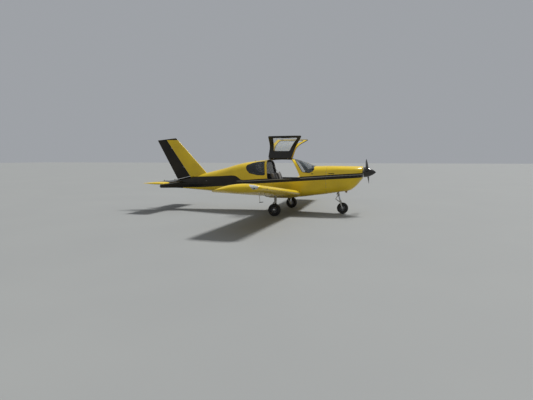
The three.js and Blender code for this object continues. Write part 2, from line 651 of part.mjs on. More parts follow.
// Main leg: an upright strut under the wing with an axle that points outboard
function buildMainLeg(name, side) {
  const wheelY = (side * TRACK) / 2;
  const y = wheelY - side * MAIN_LEG.inset;
  const x = at(MAIN_AXLE_STATION);
  const axleZ = MAIN_TYRE_RADIUS;
  const strut = rod(V3(x, y, MAIN_LEG.socketZ), V3(x, y, MAIN_LEG.headZ), MAIN_LEG.strut);
  const piston = rod(V3(x, y, axleZ - 30), V3(x, y, MAIN_LEG.socketZ + 30), MAIN_LEG.piston);
  const axleEnd = V3(x, wheelY + side * MAIN_LEG.axleEnd, axleZ);
  const axle = rod(V3(x, y, axleZ), axleEnd, AXLE_RADIUS, AXLE_RADIUS, 24);
  const half = side * MAIN_KNUCKLE.half;
  const knuckle = rod(V3(x, y - half, axleZ), V3(x, y + half, axleZ), MAIN_KNUCKLE.radius);
  const knee = V3(x - MAIN_LINK.back, y, MAIN_LINK.kneeZ);
  const links = [MAIN_LINK.topZ, MAIN_LINK.footZ].map((z) =>
    rod(V3(x - MAIN_LINK.root, y, z), knee, MAIN_LINK.radius, MAIN_LINK.kneeRadius, 12));
  const leg = [piston, axle, knuckle, ...links].reduce((body, next) => body.add(next), strut);
  piece(`main_leg_${name}`, leg.subtract(wingVolume(side)), 'white');
}

// Nose gear, laid out along a raked steering axis from its foot
const NOSE_AXIS_FOOT = V3(at(NOSE_AXLE_STATION + 12), 0, NOSE_TYRE_RADIUS);
const NOSE_RAKE = Math.atan2(80, 290);
const NOSE_LEG = { socket: 430, head: 780, armRoot: 640, radius: 36, piston: 25 };
const NOSE_ARM = { y: 150, z: 1000, radius: 18, braceZ: 1120, braceRadius: 20 };
const NOSE_FORK = { crown: NOSE_TYRE_RADIUS + 42, y: 92, yokeRadius: 24, topRadius: 20, footRadius: 24 };
const NOSE_LINK = { knee: 330, back: 110, root: 10, radius: 12, kneeRadius: 11 };
const NOSE_AXLE_RADIUS = 15;
const LUG_Y = 126;
const alongLeg = (distance) => NOSE_AXIS_FOOT.clone()
  .add(V3(-Math.sin(NOSE_RAKE), 0, Math.cos(NOSE_RAKE)).multiplyScalar(distance));
const sideways = (point, y) => point.clone().add(V3(0, y, 0));

function buildNoseGear() {
  const top = alongLeg(NOSE_LEG.head);
  const barrel = rod(alongLeg(NOSE_LEG.socket), top, NOSE_LEG.radius);
  const wallX = at(FIREWALL + 20);
  const arms = [-NOSE_ARM.y, NOSE_ARM.y].map((y) =>
    rod(alongLeg(NOSE_LEG.armRoot), V3(wallX, y, NOSE_ARM.z), NOSE_ARM.radius));
  const brace = rod(top, V3(wallX, 0, NOSE_ARM.braceZ), NOSE_ARM.braceRadius);
  const braced = [...arms, brace].reduce((body, arm) => body.add(arm), barrel);
  piece('nose_leg', braced.intersect(aheadOfFirewall), 'white');

  const crown = alongLeg(NOSE_FORK.crown);
  const piston = rod(crown, alongLeg(NOSE_LEG.socket - SEAT_GAP), NOSE_LEG.piston);
  const yoke = rod(sideways(crown, -NOSE_FORK.y), sideways(crown, NOSE_FORK.y), NOSE_FORK.yokeRadius);
  const axlePoint = V3(at(NOSE_AXLE_STATION), 0, NOSE_TYRE_RADIUS);
  const legs = [-NOSE_FORK.y, NOSE_FORK.y].map((y) =>
    rod(sideways(crown, y), sideways(axlePoint, y), NOSE_FORK.topRadius, NOSE_FORK.footRadius));
  const ends = [-LUG_Y, LUG_Y].map((y) => sideways(axlePoint, y));
  const axle = rod(...ends, NOSE_AXLE_RADIUS, NOSE_AXLE_RADIUS, 24);
  const knee = alongLeg(NOSE_LINK.knee).add(V3(-NOSE_LINK.back, 0, 0));
  const root = crown.clone().add(V3(-NOSE_LINK.root, 0, 0));
  const link = rod(root, knee, NOSE_LINK.radius, NOSE_LINK.kneeRadius, 12);
  piece('nose_fork', [yoke, ...legs, axle, link].reduce((body, next) => body.add(next), piston), 'white');
  buildWheel('nose', axlePoint, NOSE_TYRE_RADIUS, NOSE_TYRE_WIDTH, NOSE_AXLE_RADIUS + BORE_GAP);
}

// Propeller blades from a table of radius, chord, depth and twist
const BLADE_ROWS = [
  // radius, chord, depth, twist in degrees
  [60, 88, 66, 55],
  [150, 96, 52, 50],
  [260, 122, 34, 40],
  [440, 136, 22, 30],
  [640, 128, 15, 23],
  [820, 106, 10, 18],
  [905, 78, 7, 16],
  [PROPELLER_RADIUS, 34, 4, 15],
];

function bladeRing([radius, chord, depth, twist]) {
  const angle = THREE.MathUtils.degToRad(twist);
  const ring = [];
  for (let i = 0; i < 14; i += 1) {
    const turn = (2 * Math.PI * i) / 14;
    const [across, through] = [(Math.cos(turn) * chord) / 2, (Math.sin(turn) * depth) / 2];
    ring.push(V3(across * Math.sin(angle) + through * Math.cos(angle), radius,
      -across * Math.cos(angle) + through * Math.sin(angle)));
  }
  return ring;
}

const HUB = { ahead: 70, rootRadius: 70, frontRadius: 62, plate: 8 };
const BLADE_SLOT_RADIUS = 62;

function buildPropeller() {
  const hub = new THREE.Group();
  hub.position.set(at(0), 0, SHAFT_Z);
  hub.rotation.x = -BLADE_TILT;
  aircraft.add(hub);
  const blade = loft(BLADE_ROWS.map(bladeRing));
  const flip = new THREE.Matrix4().makeRotationX(Math.PI);
  const other = solid(toGeometry(blade).applyMatrix4(flip));
  const shift = new THREE.Matrix4().makeTranslation(-BLADE_STATION, 0, 0);
  const blades = solid(toGeometry(blade.add(other)).applyMatrix4(shift));
  const onShaft = (station) => V3(-station, 0, 0);
  const plateFace = SPINNER_BASE - HUB.plate;
  const front = onShaft(BLADE_STATION - HUB.ahead);
  const barrel = rod(onShaft(plateFace + 4), front, HUB.rootRadius, HUB.frontRadius, 24);
  const plateRadius = SPINNER_RADIUS - 3;
  const plate = rod(onShaft(SPINNER_BASE), onShaft(plateFace), plateRadius, plateRadius, 40);
  piece('propeller', blades.add(barrel).add(plate), 'metal', hub);

  const profile = [];
  const reach = plateFace - SEAT_GAP;
  for (let i = 0; i <= 8; i += 1) {
    const along = i / 8;
    profile.push([SPINNER_RADIUS * Math.sin((Math.PI / 2) * along) ** 0.78, reach * along]);
  }
  const inner = profile.filter((_, i) => i % 2 === 0).map(([r, x]) =>
    [Math.max(0, r - SPINNER_WALL), Math.min(reach, x + SPINNER_WALL * (r < 30 ? 2 : 0.8))]);
  inner.at(-1)[1] = reach;
  const shell = turned([...profile, ...inner.reverse()], 28);
  const toNose = new THREE.Matrix4().makeRotationZ(Math.PI / 2);
  const cap = solid(toGeometry(shell).applyMatrix4(toNose));
  const ends = [-400, 400].map((y) => V3(-BLADE_STATION, y, 0));
  piece('spinner', cap.subtract(rod(...ends, BLADE_SLOT_RADIUS, BLADE_SLOT_RADIUS, 20)), 'black', hub);
}

function buildEngine() {
  const { front, rear, halfWidth, top, crankRadius } = ENGINE;
  const block = box(at(rear), at(front), -halfWidth, halfWidth, ENGINE_FLOOR, top);
  const crank = rod(V3(at(front + 10), 0, SHAFT_Z), V3(at(SPINNER_BASE + SEAT_GAP), 0, SHAFT_Z), crankRadius);
  const { heights, start, innerY, outerY, radius } = ENGINE_MOUNT;
  const mounts = [-1, 1].flatMap((side) => heights.map((z) =>
    rod(V3(at(start), side * innerY, z), V3(at(FIREWALL + 20), side * outerY, z), radius)));
  const carried = mounts.reduce((body, arm) => body.add(arm), block.add(crank));
  piece('engine_block', carried.intersect(aheadOfFirewall), 'iron');
  const pipe = rod(...exhaustEnds(), EXHAUST.radius);
  piece('exhaust', pipe.intersect(between(0, FIREWALL, 0, ENGINE_FLOOR - SEAT_GAP)), 'metal');
}

// Cabin furniture as outlines in stations and heights
const FLOOR_Z = 528 + CABIN_WALL + SEAT_GAP;
const PANEL = [[1870, 1470], [2170, 1440], [2190, 1425], [2130, 1120], [2090, 1080], [1870, 1120]];
const SEAT_OUTLINE = [
  [2620, 700], [2600, 860], [2640, 900], [3060, 850], [3230, 1330], [3330, 1320], [3140, 760], [3040, 700],
  [3000, FLOOR_Z + 1], [2700, FLOOR_Z + 1],
];
const SEAT_Y = 300;
const SEAT_HALF_WIDTH = 235;
const BENCH_OUTLINE = [
  [3560, 760], [3550, 890], [3600, 930], [4030, 880], [4180, 1330], [4280, 1320], [4120, 800], [4040, 740],
  [4000, 580], [3640, 580],
];
const BENCH_HALF_WIDTH = 520;
const YOKE_COLUMN = { start: [2140, 1180], end: [2330, 1150], radius: 13 };
const YOKE_WHEEL = { outline: [[2322, 1060], [2346, 1064], [2346, 1240], [2322, 1236]], half: 130 };
const YOKE_NOTCH = { outline: [[2300, 1170], [2400, 1170], [2400, 1300], [2300, 1300]], half: 80 };
const panelSolid = (back) => sidePlate(PANEL.map(([s, z]) => [s + back, z]), -WIDE, WIDE);
const centredPlate = ({ outline, half }, y) => sidePlate(outline, y - half, y + half);

function buildCabin() {
  const inside = hull(CABIN_WALL + SEAT_GAP);
  piece('instrument_panel', panelSolid(0).intersect(inside), 'dark');
  for (const [name, side] of SIDES) {
    const y = side * SEAT_Y;
    const seat = centredPlate({ outline: SEAT_OUTLINE, half: SEAT_HALF_WIDTH }, y);
    piece(`seat_${name}`, seat.intersect(inside), 'fabric');
    const [start, end] = [YOKE_COLUMN.start, YOKE_COLUMN.end].map(([s, z]) => V3(at(s), y, z));
    const wheel = centredPlate(YOKE_WHEEL, y).subtract(centredPlate(YOKE_NOTCH, y));
    const yoke = rod(start, end, YOKE_COLUMN.radius).add(wheel);
    piece(`yoke_${name}`, yoke.subtract(panelSolid(SEAT_GAP)), 'black');
  }
  const bench = centredPlate({ outline: BENCH_OUTLINE, half: BENCH_HALF_WIDTH }, 0);
  piece('rear_bench', bench.intersect(inside), 'fabric');
}

buildCowls();
buildFuselage();
buildDoors(buildGlass());
buildFin();
buildStabilator();
for (const [name, side] of SIDES) {
  buildWing(name, side);
  buildMainLeg(name, side);
  buildWheel(`main_${name}`, V3(at(MAIN_AXLE_STATION), (side * TRACK) / 2, MAIN_TYRE_RADIUS),
    MAIN_TYRE_RADIUS, MAIN_TYRE_WIDTH, AXLE_RADIUS + BORE_GAP);
}
buildNoseGear();
buildPropeller();
buildEngine();
buildCabin();

export default aircraft;
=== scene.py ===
import json
import math

import bmesh
import bpy
from mathutils import Matrix, Vector
from mathutils.bvhtree import BVHTree

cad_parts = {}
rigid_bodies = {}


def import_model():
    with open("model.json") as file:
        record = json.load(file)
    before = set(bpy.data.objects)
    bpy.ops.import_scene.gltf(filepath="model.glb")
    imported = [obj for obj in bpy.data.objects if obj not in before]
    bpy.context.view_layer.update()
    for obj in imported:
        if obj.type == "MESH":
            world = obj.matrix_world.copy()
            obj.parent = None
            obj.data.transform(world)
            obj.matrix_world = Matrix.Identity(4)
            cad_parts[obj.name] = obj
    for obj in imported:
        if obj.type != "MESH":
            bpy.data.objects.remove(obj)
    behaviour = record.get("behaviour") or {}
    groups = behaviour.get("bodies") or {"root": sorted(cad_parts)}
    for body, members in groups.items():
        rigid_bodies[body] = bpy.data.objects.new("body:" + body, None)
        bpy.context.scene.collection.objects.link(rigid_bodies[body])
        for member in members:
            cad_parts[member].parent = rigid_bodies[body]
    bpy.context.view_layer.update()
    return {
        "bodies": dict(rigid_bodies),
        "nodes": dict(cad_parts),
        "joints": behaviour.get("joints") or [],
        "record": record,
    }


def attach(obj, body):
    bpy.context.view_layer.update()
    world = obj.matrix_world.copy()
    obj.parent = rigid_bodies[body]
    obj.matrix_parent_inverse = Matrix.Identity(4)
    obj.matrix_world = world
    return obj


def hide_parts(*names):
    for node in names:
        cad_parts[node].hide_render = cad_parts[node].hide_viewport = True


bl_info = {
    "name": "Light Aircraft",
    "version": (1, 0, 0),
    "blender": (4, 5, 0),
    "location": "3D View > Sidebar > Aircraft",
    "description": "Dresses a four-seat low-wing light aircraft with upward-swinging cabin doors",
    "category": "Add Mesh",
}

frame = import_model()

# Tables are in millimetres. A station is a distance aft of the spinner's tip.
MM = 0.001
HALF_LENGTH = 3.85
LEFT, RIGHT = 1, -1
SIDES = (("left", LEFT), ("right", RIGHT))
UP, ACROSS, AHEAD = Vector((0, 0, 1)), Vector((0, 1, 0)), Vector((1, 0, 0))

# Fuselage panels
COWL_SPLIT_Z = 1255
FIREWALL = 1490
FRONT_END = 2200
BOOM_START = 4780
CONE_START = 6700
SILL_Z = 1130
SHAFT_Z = 1345
HINGE_Y = 80
HINGE_Z = 1773
DOOR_OPEN = {"left": math.radians(99), "right": math.radians(107)}

# station, crown, eave y, eave z, belt y, belt z, chine y, belly, eave softness, chine softness
HULL = (
    (400, 1530, 315, 1512, 375, 1345, 300, 1150, 0.7, 0.75),
    (480, 1532, 365, 1514, 430, 1340, 340, 1050, 0.65, 0.7),
    (600, 1534, 405, 1517, 478, 1325, 385, 905, 0.6, 0.65),
    (800, 1537, 440, 1522, 528, 1295, 430, 768, 0.55, 0.6),
    (1140, 1541, 465, 1526, 575, 1235, 465, 712, 0.5, 0.55),
    (1490, 1542, 480, 1524, 612, 1170, 495, 652, 0.5, 0.5),
    (1860, 1535, 500, 1515, 645, 1110, 520, 604, 0.48, 0.48),
    (1990, 1560, 505, 1540, 652, 1090, 530, 585, 0.46, 0.46),
    (2270, 1668, 500, 1638, 664, 1060, 545, 550, 0.42, 0.44),
    (2600, 1752, 492, 1708, 670, 1040, 550, 530, 0.36, 0.42),
    (3000, 1766, 490, 1720, 670, 1030, 550, 528, 0.34, 0.42),
    (3440, 1742, 486, 1694, 666, 1025, 545, 535, 0.36, 0.42),
    (3900, 1692, 460, 1640, 648, 1020, 520, 556, 0.42, 0.44),
    (4320, 1638, 425, 1580, 606, 1010, 480, 582, 0.48, 0.48),
    (4660, 1560, 385, 1500, 555, 1000, 435, 605, 0.52, 0.52),
    (5000, 1462, 335, 1404, 495, 985, 385, 624, 0.56, 0.56),
    (5400, 1362, 272, 1306, 415, 970, 318, 646, 0.6, 0.6),
    (5850, 1258, 205, 1210, 325, 950, 245, 672, 0.6, 0.6),
    (6420, 1124, 128, 1090, 222, 925, 158, 705, 0.6, 0.6),
    (6700, 1060, 100, 1034, 178, 910, 122, 720, 0.6, 0.6),
    (7000, 988, 78, 968, 138, 880, 92, 722, 0.6, 0.6),
    (7350, 915, 60, 900, 102, 830, 70, 712, 0.65, 0.65),
    (7600, 860, 44, 848, 72, 785, 50, 706, 0.75, 0.75),
    (7665, 812, 22, 804, 36, 768, 24, 722, 0.8, 0.8),
)
RING_STEP = 85
ROOF_STEPS, EAVE_STEPS, SIDE_STEPS, BELT_STEPS, CHINE_STEPS, BELLY_STEPS = 6, 8, 3, 4, 8, 4
BELT_SOFT = 0.22
# How the nose and the tail end are rounded: distance from the end, inset of the section
NOSE_LIP = ((0, 16), (1.5, 10), (5, 5), (12, 1.5), (22, 0))
TAIL_LIP = ((22, 0), (12, 1.5), (5, 5), (1.5, 9), (0, 15))

# Openings as planes through three points (station, y, z)
DOOR_FRONT = ((2264, 640, 1130), (2565, 452, 1690), (2700, 80, 1752))
DOOR_REAR = ((3378, 640, 1130), (3450, 452, 1690), (3492, 80, 1742))
PANE_FRONT = ((2385, 620, 1220), (2655, 480, 1625), (2745, 300, 1700))
PANE_REAR = ((3252, 620, 1220), (3318, 480, 1625), (3345, 300, 1700))
PANE_LOW, PANE_INNER_Y = 1220, 310
SCREEN_SIDE = ((1885, 1900), (1885, 1420), (1905, 1372), (2015, 1318), (2235, 1342))
SCREEN_REAR = ((2235, 600, 1342), (2465, 470, 1670), (2620, 0, 1752))
REAR_PANE = ((3458, 1228), (3720, 1234), (4010, 1292), (4120, 1394), (4158, 1482), (4138, 1562),
    (3955, 1628), (3764, 1668), (3520, 1688))


def at(station):
    return HALF_LENGTH - station * MM


def place(station, y, z):
    """A point given by its station, offset and height in millimetres."""
    return Vector((at(station), y * MM, z * MM))


def mm(x, y, z):
    """A point or step given in millimetres."""
    return Vector((x, y, z)) * MM


def turns(count):
    """Angles spread evenly round a circle."""
    return [math.tau * k / count for k in range(count)]


# Mesh tools


def loft(bm, rings, closed_ends=(True, True), joined=False):
    """Skins rings of equally many points, each ring extruded from the one before."""
    order = bm.verts.layers.int.get("order") or bm.verts.layers.int.new("order")
    first = bmesh.ops.create_circle(bm, segments=len(rings[0]), radius=1.0)["verts"]
    for i, vert in enumerate(first):
        vert[order] = i
        vert.co = rings[0][i]
    start = edges = list({edge for vert in first for edge in vert.link_edges})
    faces = []
    for ring in rings[1:]:
        made = bmesh.ops.extrude_edge_only(bm, edges=edges)["geom"]
        edges = [g for g in made if isinstance(g, bmesh.types.BMEdge)]
        faces += [g for g in made if isinstance(g, bmesh.types.BMFace)]
        for vert in made:
            if isinstance(vert, bmesh.types.BMVert):
                vert.co = ring[vert[order]]
    if joined:
        faces += bmesh.ops.bridge_loops(bm, edges=start + edges)["faces"]
        return faces
    for wanted, loop in zip(closed_ends, (start, edges)):
        if wanted:
            faces += bmesh.ops.contextual_create(bm, geom=loop)["faces"]
    return faces


def turned(bm, profile, centre, axis, steps=48):
    """Spins a profile of (radius, distance along the axis) in millimetres about an axis."""
    axis = Vector(axis).normalized()
    out = axis.orthogonal().normalized()
    points = [centre + out * (r * MM) + axis * (along * MM) for r, along in profile]
    vert = bmesh.ops.create_vert(bm, co=points[0])["vert"][0]
    geom = [vert]
    for target in points[1:]:
        made = bmesh.ops.extrude_vert_indiv(bm, verts=[vert])
        vert = made["verts"][0]
        vert.co = target
        geom += [vert, *made["edges"]]
    bmesh.ops.spin(bm, geom=geom, cent=centre, axis=axis, angle=math.tau,
        steps=steps, use_merge=True)


def bar(bm, start, end, radius, end_radius=None, sides=20):
    """A round bar between two points, its radii in millimetres."""
    start, end = Vector(start), Vector(end)
    along = end - start
    turn = UP.rotation_difference(along).to_matrix().to_4x4()
    bmesh.ops.create_cone(bm, cap_ends=True, segments=sides, radius1=radius * MM,
        radius2=(radius if end_radius is None else end_radius) * MM, depth=along.length,
        matrix=Matrix.Translation((start + end) / 2) @ turn)


def soften(bm, edges, offset, segments):
    bmesh.ops.bevel(bm, geom=list(edges), offset=offset, segments=segments, affect="EDGES",
        profile=0.5, material=-1)


def block(bm, first, second, bevel=0.0, segments=2, turn=None):
    """A box between two opposite corners in metres, with rounded edges."""
    low, high = (Vector([pick(pair) for pair in zip(first, second)]) for pick in (min, max))
    size = Matrix.Diagonal((*(high - low), 1.0))
    middle = Matrix.Translation((low + high) / 2)
    verts = bmesh.ops.create_cube(bm, size=1.0, matrix=middle @ (turn or Matrix()) @ size)["verts"]
    if bevel:
        soften(bm, {edge for vert in verts for edge in vert.link_edges}, bevel, segments)


def plate(bm, outline, thickness, bevel=0.0, segments=2):
    """A plate of any flat outline of points, thickened along a vector."""
    verts = bmesh.ops.create_circle(bm, cap_ends=True, segments=len(outline), radius=1.0)["verts"]
    for vert, point in zip(verts, outline):
        vert.co = point
    face = next(iter(verts[0].link_faces))
    made = bmesh.ops.extrude_face_region(bm, geom=[face])["geom"]
    moved = [g for g in made if isinstance(g, bmesh.types.BMVert)]
    bmesh.ops.translate(bm, verts=moved, vec=thickness)
    if bevel:
        rims = [{e for v in ring for e in v.link_edges if all(end in ring for end in e.verts)}
            for ring in (moved, verts)]
        soften(bm, rims[0] | rims[1], bevel, segments)


def circle(centre, first, second, radius, sides):
    """Points round a circle between two directions, its radius in millimetres."""
    return [centre + (first * math.cos(t) + second * math.sin(t)) * radius * MM
        for t in turns(sides)]


def tube(bm, path, radius, sides=10):
    """A round tube along a path, its radius in millimetres one number or one for each point."""
    rings = []
    up = None
    for i, point in enumerate(path):
        ahead = (path[min(i + 1, len(path) - 1)] - path[max(i - 1, 0)]).normalized()
        up = ahead.orthogonal() if up is None else up - ahead * up.dot(ahead)
        up = up.normalized()
        across = ahead.cross(up)
        wide = radius[i] if isinstance(radius, (list, tuple)) else radius
        rings.append(circle(point, up, across, wide, sides))
    loft(bm, rings)


def curve_through(points, steps=8):
    """Points along a smooth curve through the given ones."""
    points = [Vector(p) for p in points]
    ends = [2 * points[0] - points[1], *points, 2 * points[-1] - points[-2]]
    out = []
    for a, b, c, d in zip(ends, ends[1:], ends[2:], ends[3:]):
        for k in range(steps):
            t = k / steps
            second, third = 2 * a - 5 * b + 4 * c - d, 3 * b - 3 * c + d - a
            out.append(0.5 * (2 * b + (c - a) * t + second * t**2 + third * t**3))
    return [*out, points[-1]]


def shifted(bm, matrix):
    bmesh.ops.transform(bm, matrix=matrix, verts=bm.verts)


def join(bm, other):
    """Moves another mesh into this one."""
    mesh = bpy.data.meshes.new("joined")
    other.to_mesh(mesh)
    other.free()
    bm.from_mesh(mesh)
    bpy.data.meshes.remove(mesh)


def walled(thickness, lined=0, offset=-1.0):
    """Settings of a skin's wall. A lined wall has the second finish on its inner side."""
    return {"thickness": thickness, "offset": offset, "material_offset": lined,
        "material_offset_rim": lined}


def seen(bm, name, looks, node=None, body="airframe", sharp=35, mend=True,
        wall=None, own=None):
    """A piece that rides on a CAD body, and stands for a node if one is given. With own, the mesh
    is in that frame, and keeps its coordinates there for its finish."""
    bmesh.ops.remove_doubles(bm, verts=bm.verts, dist=1e-6)
    if mend:
        bmesh.ops.recalc_face_normals(bm, faces=bm.faces)
    mesh = bpy.data.meshes.new(name)
    bm.to_mesh(mesh)
    bm.free()
    piece = bpy.data.objects.new(name, mesh)
    bpy.context.scene.collection.objects.link(piece)
    for look in [looks] if isinstance(looks, str) else looks:
        mesh.materials.append(finish(look))
    if wall:
        modifier = piece.modifiers.new("Wall", "SOLIDIFY")
        for key, value in wall.items():
            setattr(modifier, key, value)
        bpy.context.view_layer.update()
        graph = bpy.context.evaluated_depsgraph_get()
        baked = bpy.data.meshes.new_from_object(piece.evaluated_get(graph))
        piece.modifiers.clear()
        piece.data = baked
        bpy.data.meshes.remove(mesh)
        baked.name = name
    if own:
        kept = piece.data.attributes.new("own_place", "FLOAT_VECTOR", "POINT")
        kept.data.foreach_set("vector", [c for vert in piece.data.vertices for c in vert.co])
        piece.data.transform(own)
    piece.data.shade_smooth()
    piece.data.set_sharp_from_angle(angle=math.radians(sharp))
    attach(piece, body)
    if node:
        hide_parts(node)
    return piece


# Shader tools


class Amount:
    """A number in a material. An expression on it adds Math nodes."""

    def __init__(self, recipe, socket):
        self.recipe = recipe
        self.socket = socket

    def _with(self, operation, *values):
        return self.recipe.node("ShaderNodeMath", {"operation": operation}, dict(enumerate(values)))

    def __add__(self, other):
        return self._with("ADD", self, other)

    def __radd__(self, other):
        return self._with("ADD", other, self)

    def __sub__(self, other):
        return self._with("SUBTRACT", self, other)

    def __rsub__(self, other):
        return self._with("SUBTRACT", other, self)

    def __mul__(self, other):
        return self._with("MULTIPLY", self, other)

    def __rmul__(self, other):
        return self._with("MULTIPLY", other, self)

    def __truediv__(self, other):
        return self._with("DIVIDE", self, other)

    def __rtruediv__(self, other):
        return self._with("DIVIDE", other, self)

    def __neg__(self):
        return self._with("MULTIPLY", self, -1.0)

    def __abs__(self):
        return self._with("ABSOLUTE", self)

    def __pow__(self, other):
        return self._with("POWER", self, other)

    def above(self, other):
        return self._with("MAXIMUM", self, other)

    def below(self, other):
        return self._with("MINIMUM", self, other)

    def wrapped(self, period):
        """The distance to the nearest multiple of a period."""
        return abs(self._with("WRAP", self, period / 2, -period / 2))

    def held(self):
        return self.above(0.0).below(1.0)

    def past(self, edge, soft=0.0008):
        """A mask, 1 where this is past an edge, softened over a width."""
        return ((self - edge) / soft + 0.5).held()


class Recipe:
    """A material under construction: its node tree, its coordinates and its shader."""

    def __init__(self, name, **constants):
        self.material = bpy.data.materials.new(name)
        self.material.use_nodes = True
        self.tree = self.material.node_tree
        self.shader = self.tree.nodes["Principled BSDF"]
        for key, value in constants.items():
            socket = key.replace("_", " ").title().replace("Ior", "IOR")
            self.shader.inputs[socket].default_value = value

    def put(self, socket, value):
        """Links a value to a socket or sets it there."""
        if isinstance(value, Amount):
            self.tree.links.new(value.socket, socket)
        elif socket.type == "RGBA":
            socket.default_value = (*value, 1.0)
        else:
            socket.default_value = value

    def node(self, kind, settings=None, inputs=None, output=0):
        """Any node: its settings are set first, then the values or links of its sockets."""
        made = self.tree.nodes.new(kind)
        for key, value in (settings or {}).items():
            if key == "stops":
                ramp = made.color_ramp
                while len(ramp.elements) < len(value):
                    ramp.elements.new(0.5)
                for element, (position, colour) in zip(ramp.elements, value):
                    element.position = position
                    element.color = (*colour, 1.0)
            else:
                setattr(made, key, value)
        for key, value in (inputs or {}).items():
            self.put(made.inputs[key], value)
        return Amount(self, made.outputs[output])

    def spot(self, attribute=None):
        """Where a point of the surface lies: its object coordinates or a stored attribute."""
        if attribute:
            return self.node("ShaderNodeAttribute", {"attribute_name": attribute}, output="Vector")
        return self.node("ShaderNodeTexCoord", output="Object")

    def axes(self, spot):
        made = self.node("ShaderNodeSeparateXYZ", inputs={0: spot}).socket.node
        return [Amount(self, socket) for socket in made.outputs]

    def blend(self, amount, first, second):
        """A colour between two others."""
        return self.node("ShaderNodeMix", {"data_type": "RGBA"},
            {0: amount, 6: first, 7: second}, 2)

    def noise(self, spot, scale, detail=3.0, roughness=0.5):
        return self.node("ShaderNodeTexNoise", inputs={"Vector": spot, "Scale": scale,
            "Detail": detail, "Roughness": roughness})

    def link(self, socket, value):
        self.put(self.shader.inputs[socket], value)

    def relief(self, height, depth, strength=1.0):
        """Bumps the surface by a height mask, its depth in metres."""
        bump = self.node("ShaderNodeBump", inputs={"Height": height, "Distance": depth,
            "Strength": strength})
        self.link("Normal", bump)

    def along(self, x, knots):
        """A height that follows straight lines between (x, height) knots."""
        slopes = [(b[1] - a[1]) / (b[0] - a[0]) for a, b in zip(knots, knots[1:])]
        height = (x - knots[0][0]) * slopes[0] + knots[0][1]
        for (start, _), before, after in zip(knots[1:], slopes, slopes[1:]):
            height = height + (x - start).above(0.0) * (after - before)
        return height


# Finishes

# Heights in metres by station in metres: the stripe's edges and the thin line inside it
STRIPE_TOP = ((0.40, 1.330), (1.18, 1.284), (2.29, 1.203), (3.42, 1.130), (3.75, 1.108),
    (4.03, 1.083), (4.19, 1.073), (4.27, 1.078), (4.32, 1.094), (4.38, 1.133), (4.45, 1.176),
    (4.50, 1.197), (4.57, 1.210), (4.69, 1.213), (5.18, 1.178), (6.40, 1.132), (7.70, 1.090))
STRIPE_LOW = ((0.40, 1.188), (1.18, 1.140), (2.28, 1.068), (3.43, 0.984), (3.87, 0.957),
    (4.95, 0.852), (5.85, 0.782), (7.30, 0.732))
STRIPE_LINE = ((0.40, 1.283), (1.18, 1.235), (2.29, 1.154), (3.42, 1.083),
    (4.03, 1.040), (4.50, 1.030))
FRAME_STATIONS = (3.44, 4.32, 4.66, 5.00, 5.40, 5.85, 6.28, 6.66)
RIVET_PITCH = 0.028
RIVET_RADIUS = 0.0022
WING_RIVET_PITCH = 0.032
RIB_PITCH, TAIL_RIB_PITCH = 0.34, 0.31
# Where the walkway starts and ends behind the leading edge, and its inner and outer edges
WALKWAY = (0.30, 1.02, 0.05, 0.44)
SEAM_GRIME, RIVET_GRIME = (0.03, 0.025, 0.015), (0.06, 0.05, 0.03)
POLISHED = {"coat_weight": 0.12, "coat_roughness": 0.06, "specular_ior_level": 0.2}


def paint_colours():
    chosen = bpy.context.scene.aircraft_paint
    return tuple(chosen.yellow), tuple(chosen.black), tuple(chosen.pale)


def lacquer(recipe, spot, colour, relief=None, depth=0.0004, shade_and_stain=None):
    """Sprayed and polished paint: slight mottling, orange peel, a clear coat, and painted shade and
    stains where given.
    """
    cloud = recipe.noise(spot, 1.7, 4.0)
    fine = recipe.noise(spot, 38.0, 2.0)
    worn = recipe.blend((cloud - 0.5) * 0.5 + 0.12, colour, (0.10, 0.07, 0.02))
    # Where given, the colour is pulled towards near black, for painted shade and for stains.
    if shade_and_stain is not None:
        worn = recipe.blend(shade_and_stain, worn, (0.035, 0.030, 0.022))
    recipe.link("Base Color", worn)
    gloss = 0.26 + (fine - 0.5) * 0.10 + (cloud - 0.5) * 0.12
    recipe.link("Roughness", gloss if shade_and_stain is None else gloss + shade_and_stain * 0.4)
    peel = recipe.noise(spot, 420.0, 1.0) * 0.05
    recipe.relief(peel if relief is None else peel + relief, depth, 0.6)
    return recipe.material


def rivet_row(across, along, pitch=RIVET_PITCH):
    """Flush rivet heads along a line: across is the distance from the line, along runs down it."""
    gap = (across * across + along.wrapped(pitch) ** 2.0) ** 0.5
    return 1.0 - gap.past(RIVET_RADIUS, 0.0012)


def seam(across, width=0.0011):
    return 1.0 - abs(across).past(width, 0.0008)


def soft_black(recipe, spot, black):
    return recipe.blend(recipe.noise(spot, 6.0) * 0.3, black, (0.022, 0.022, 0.024))


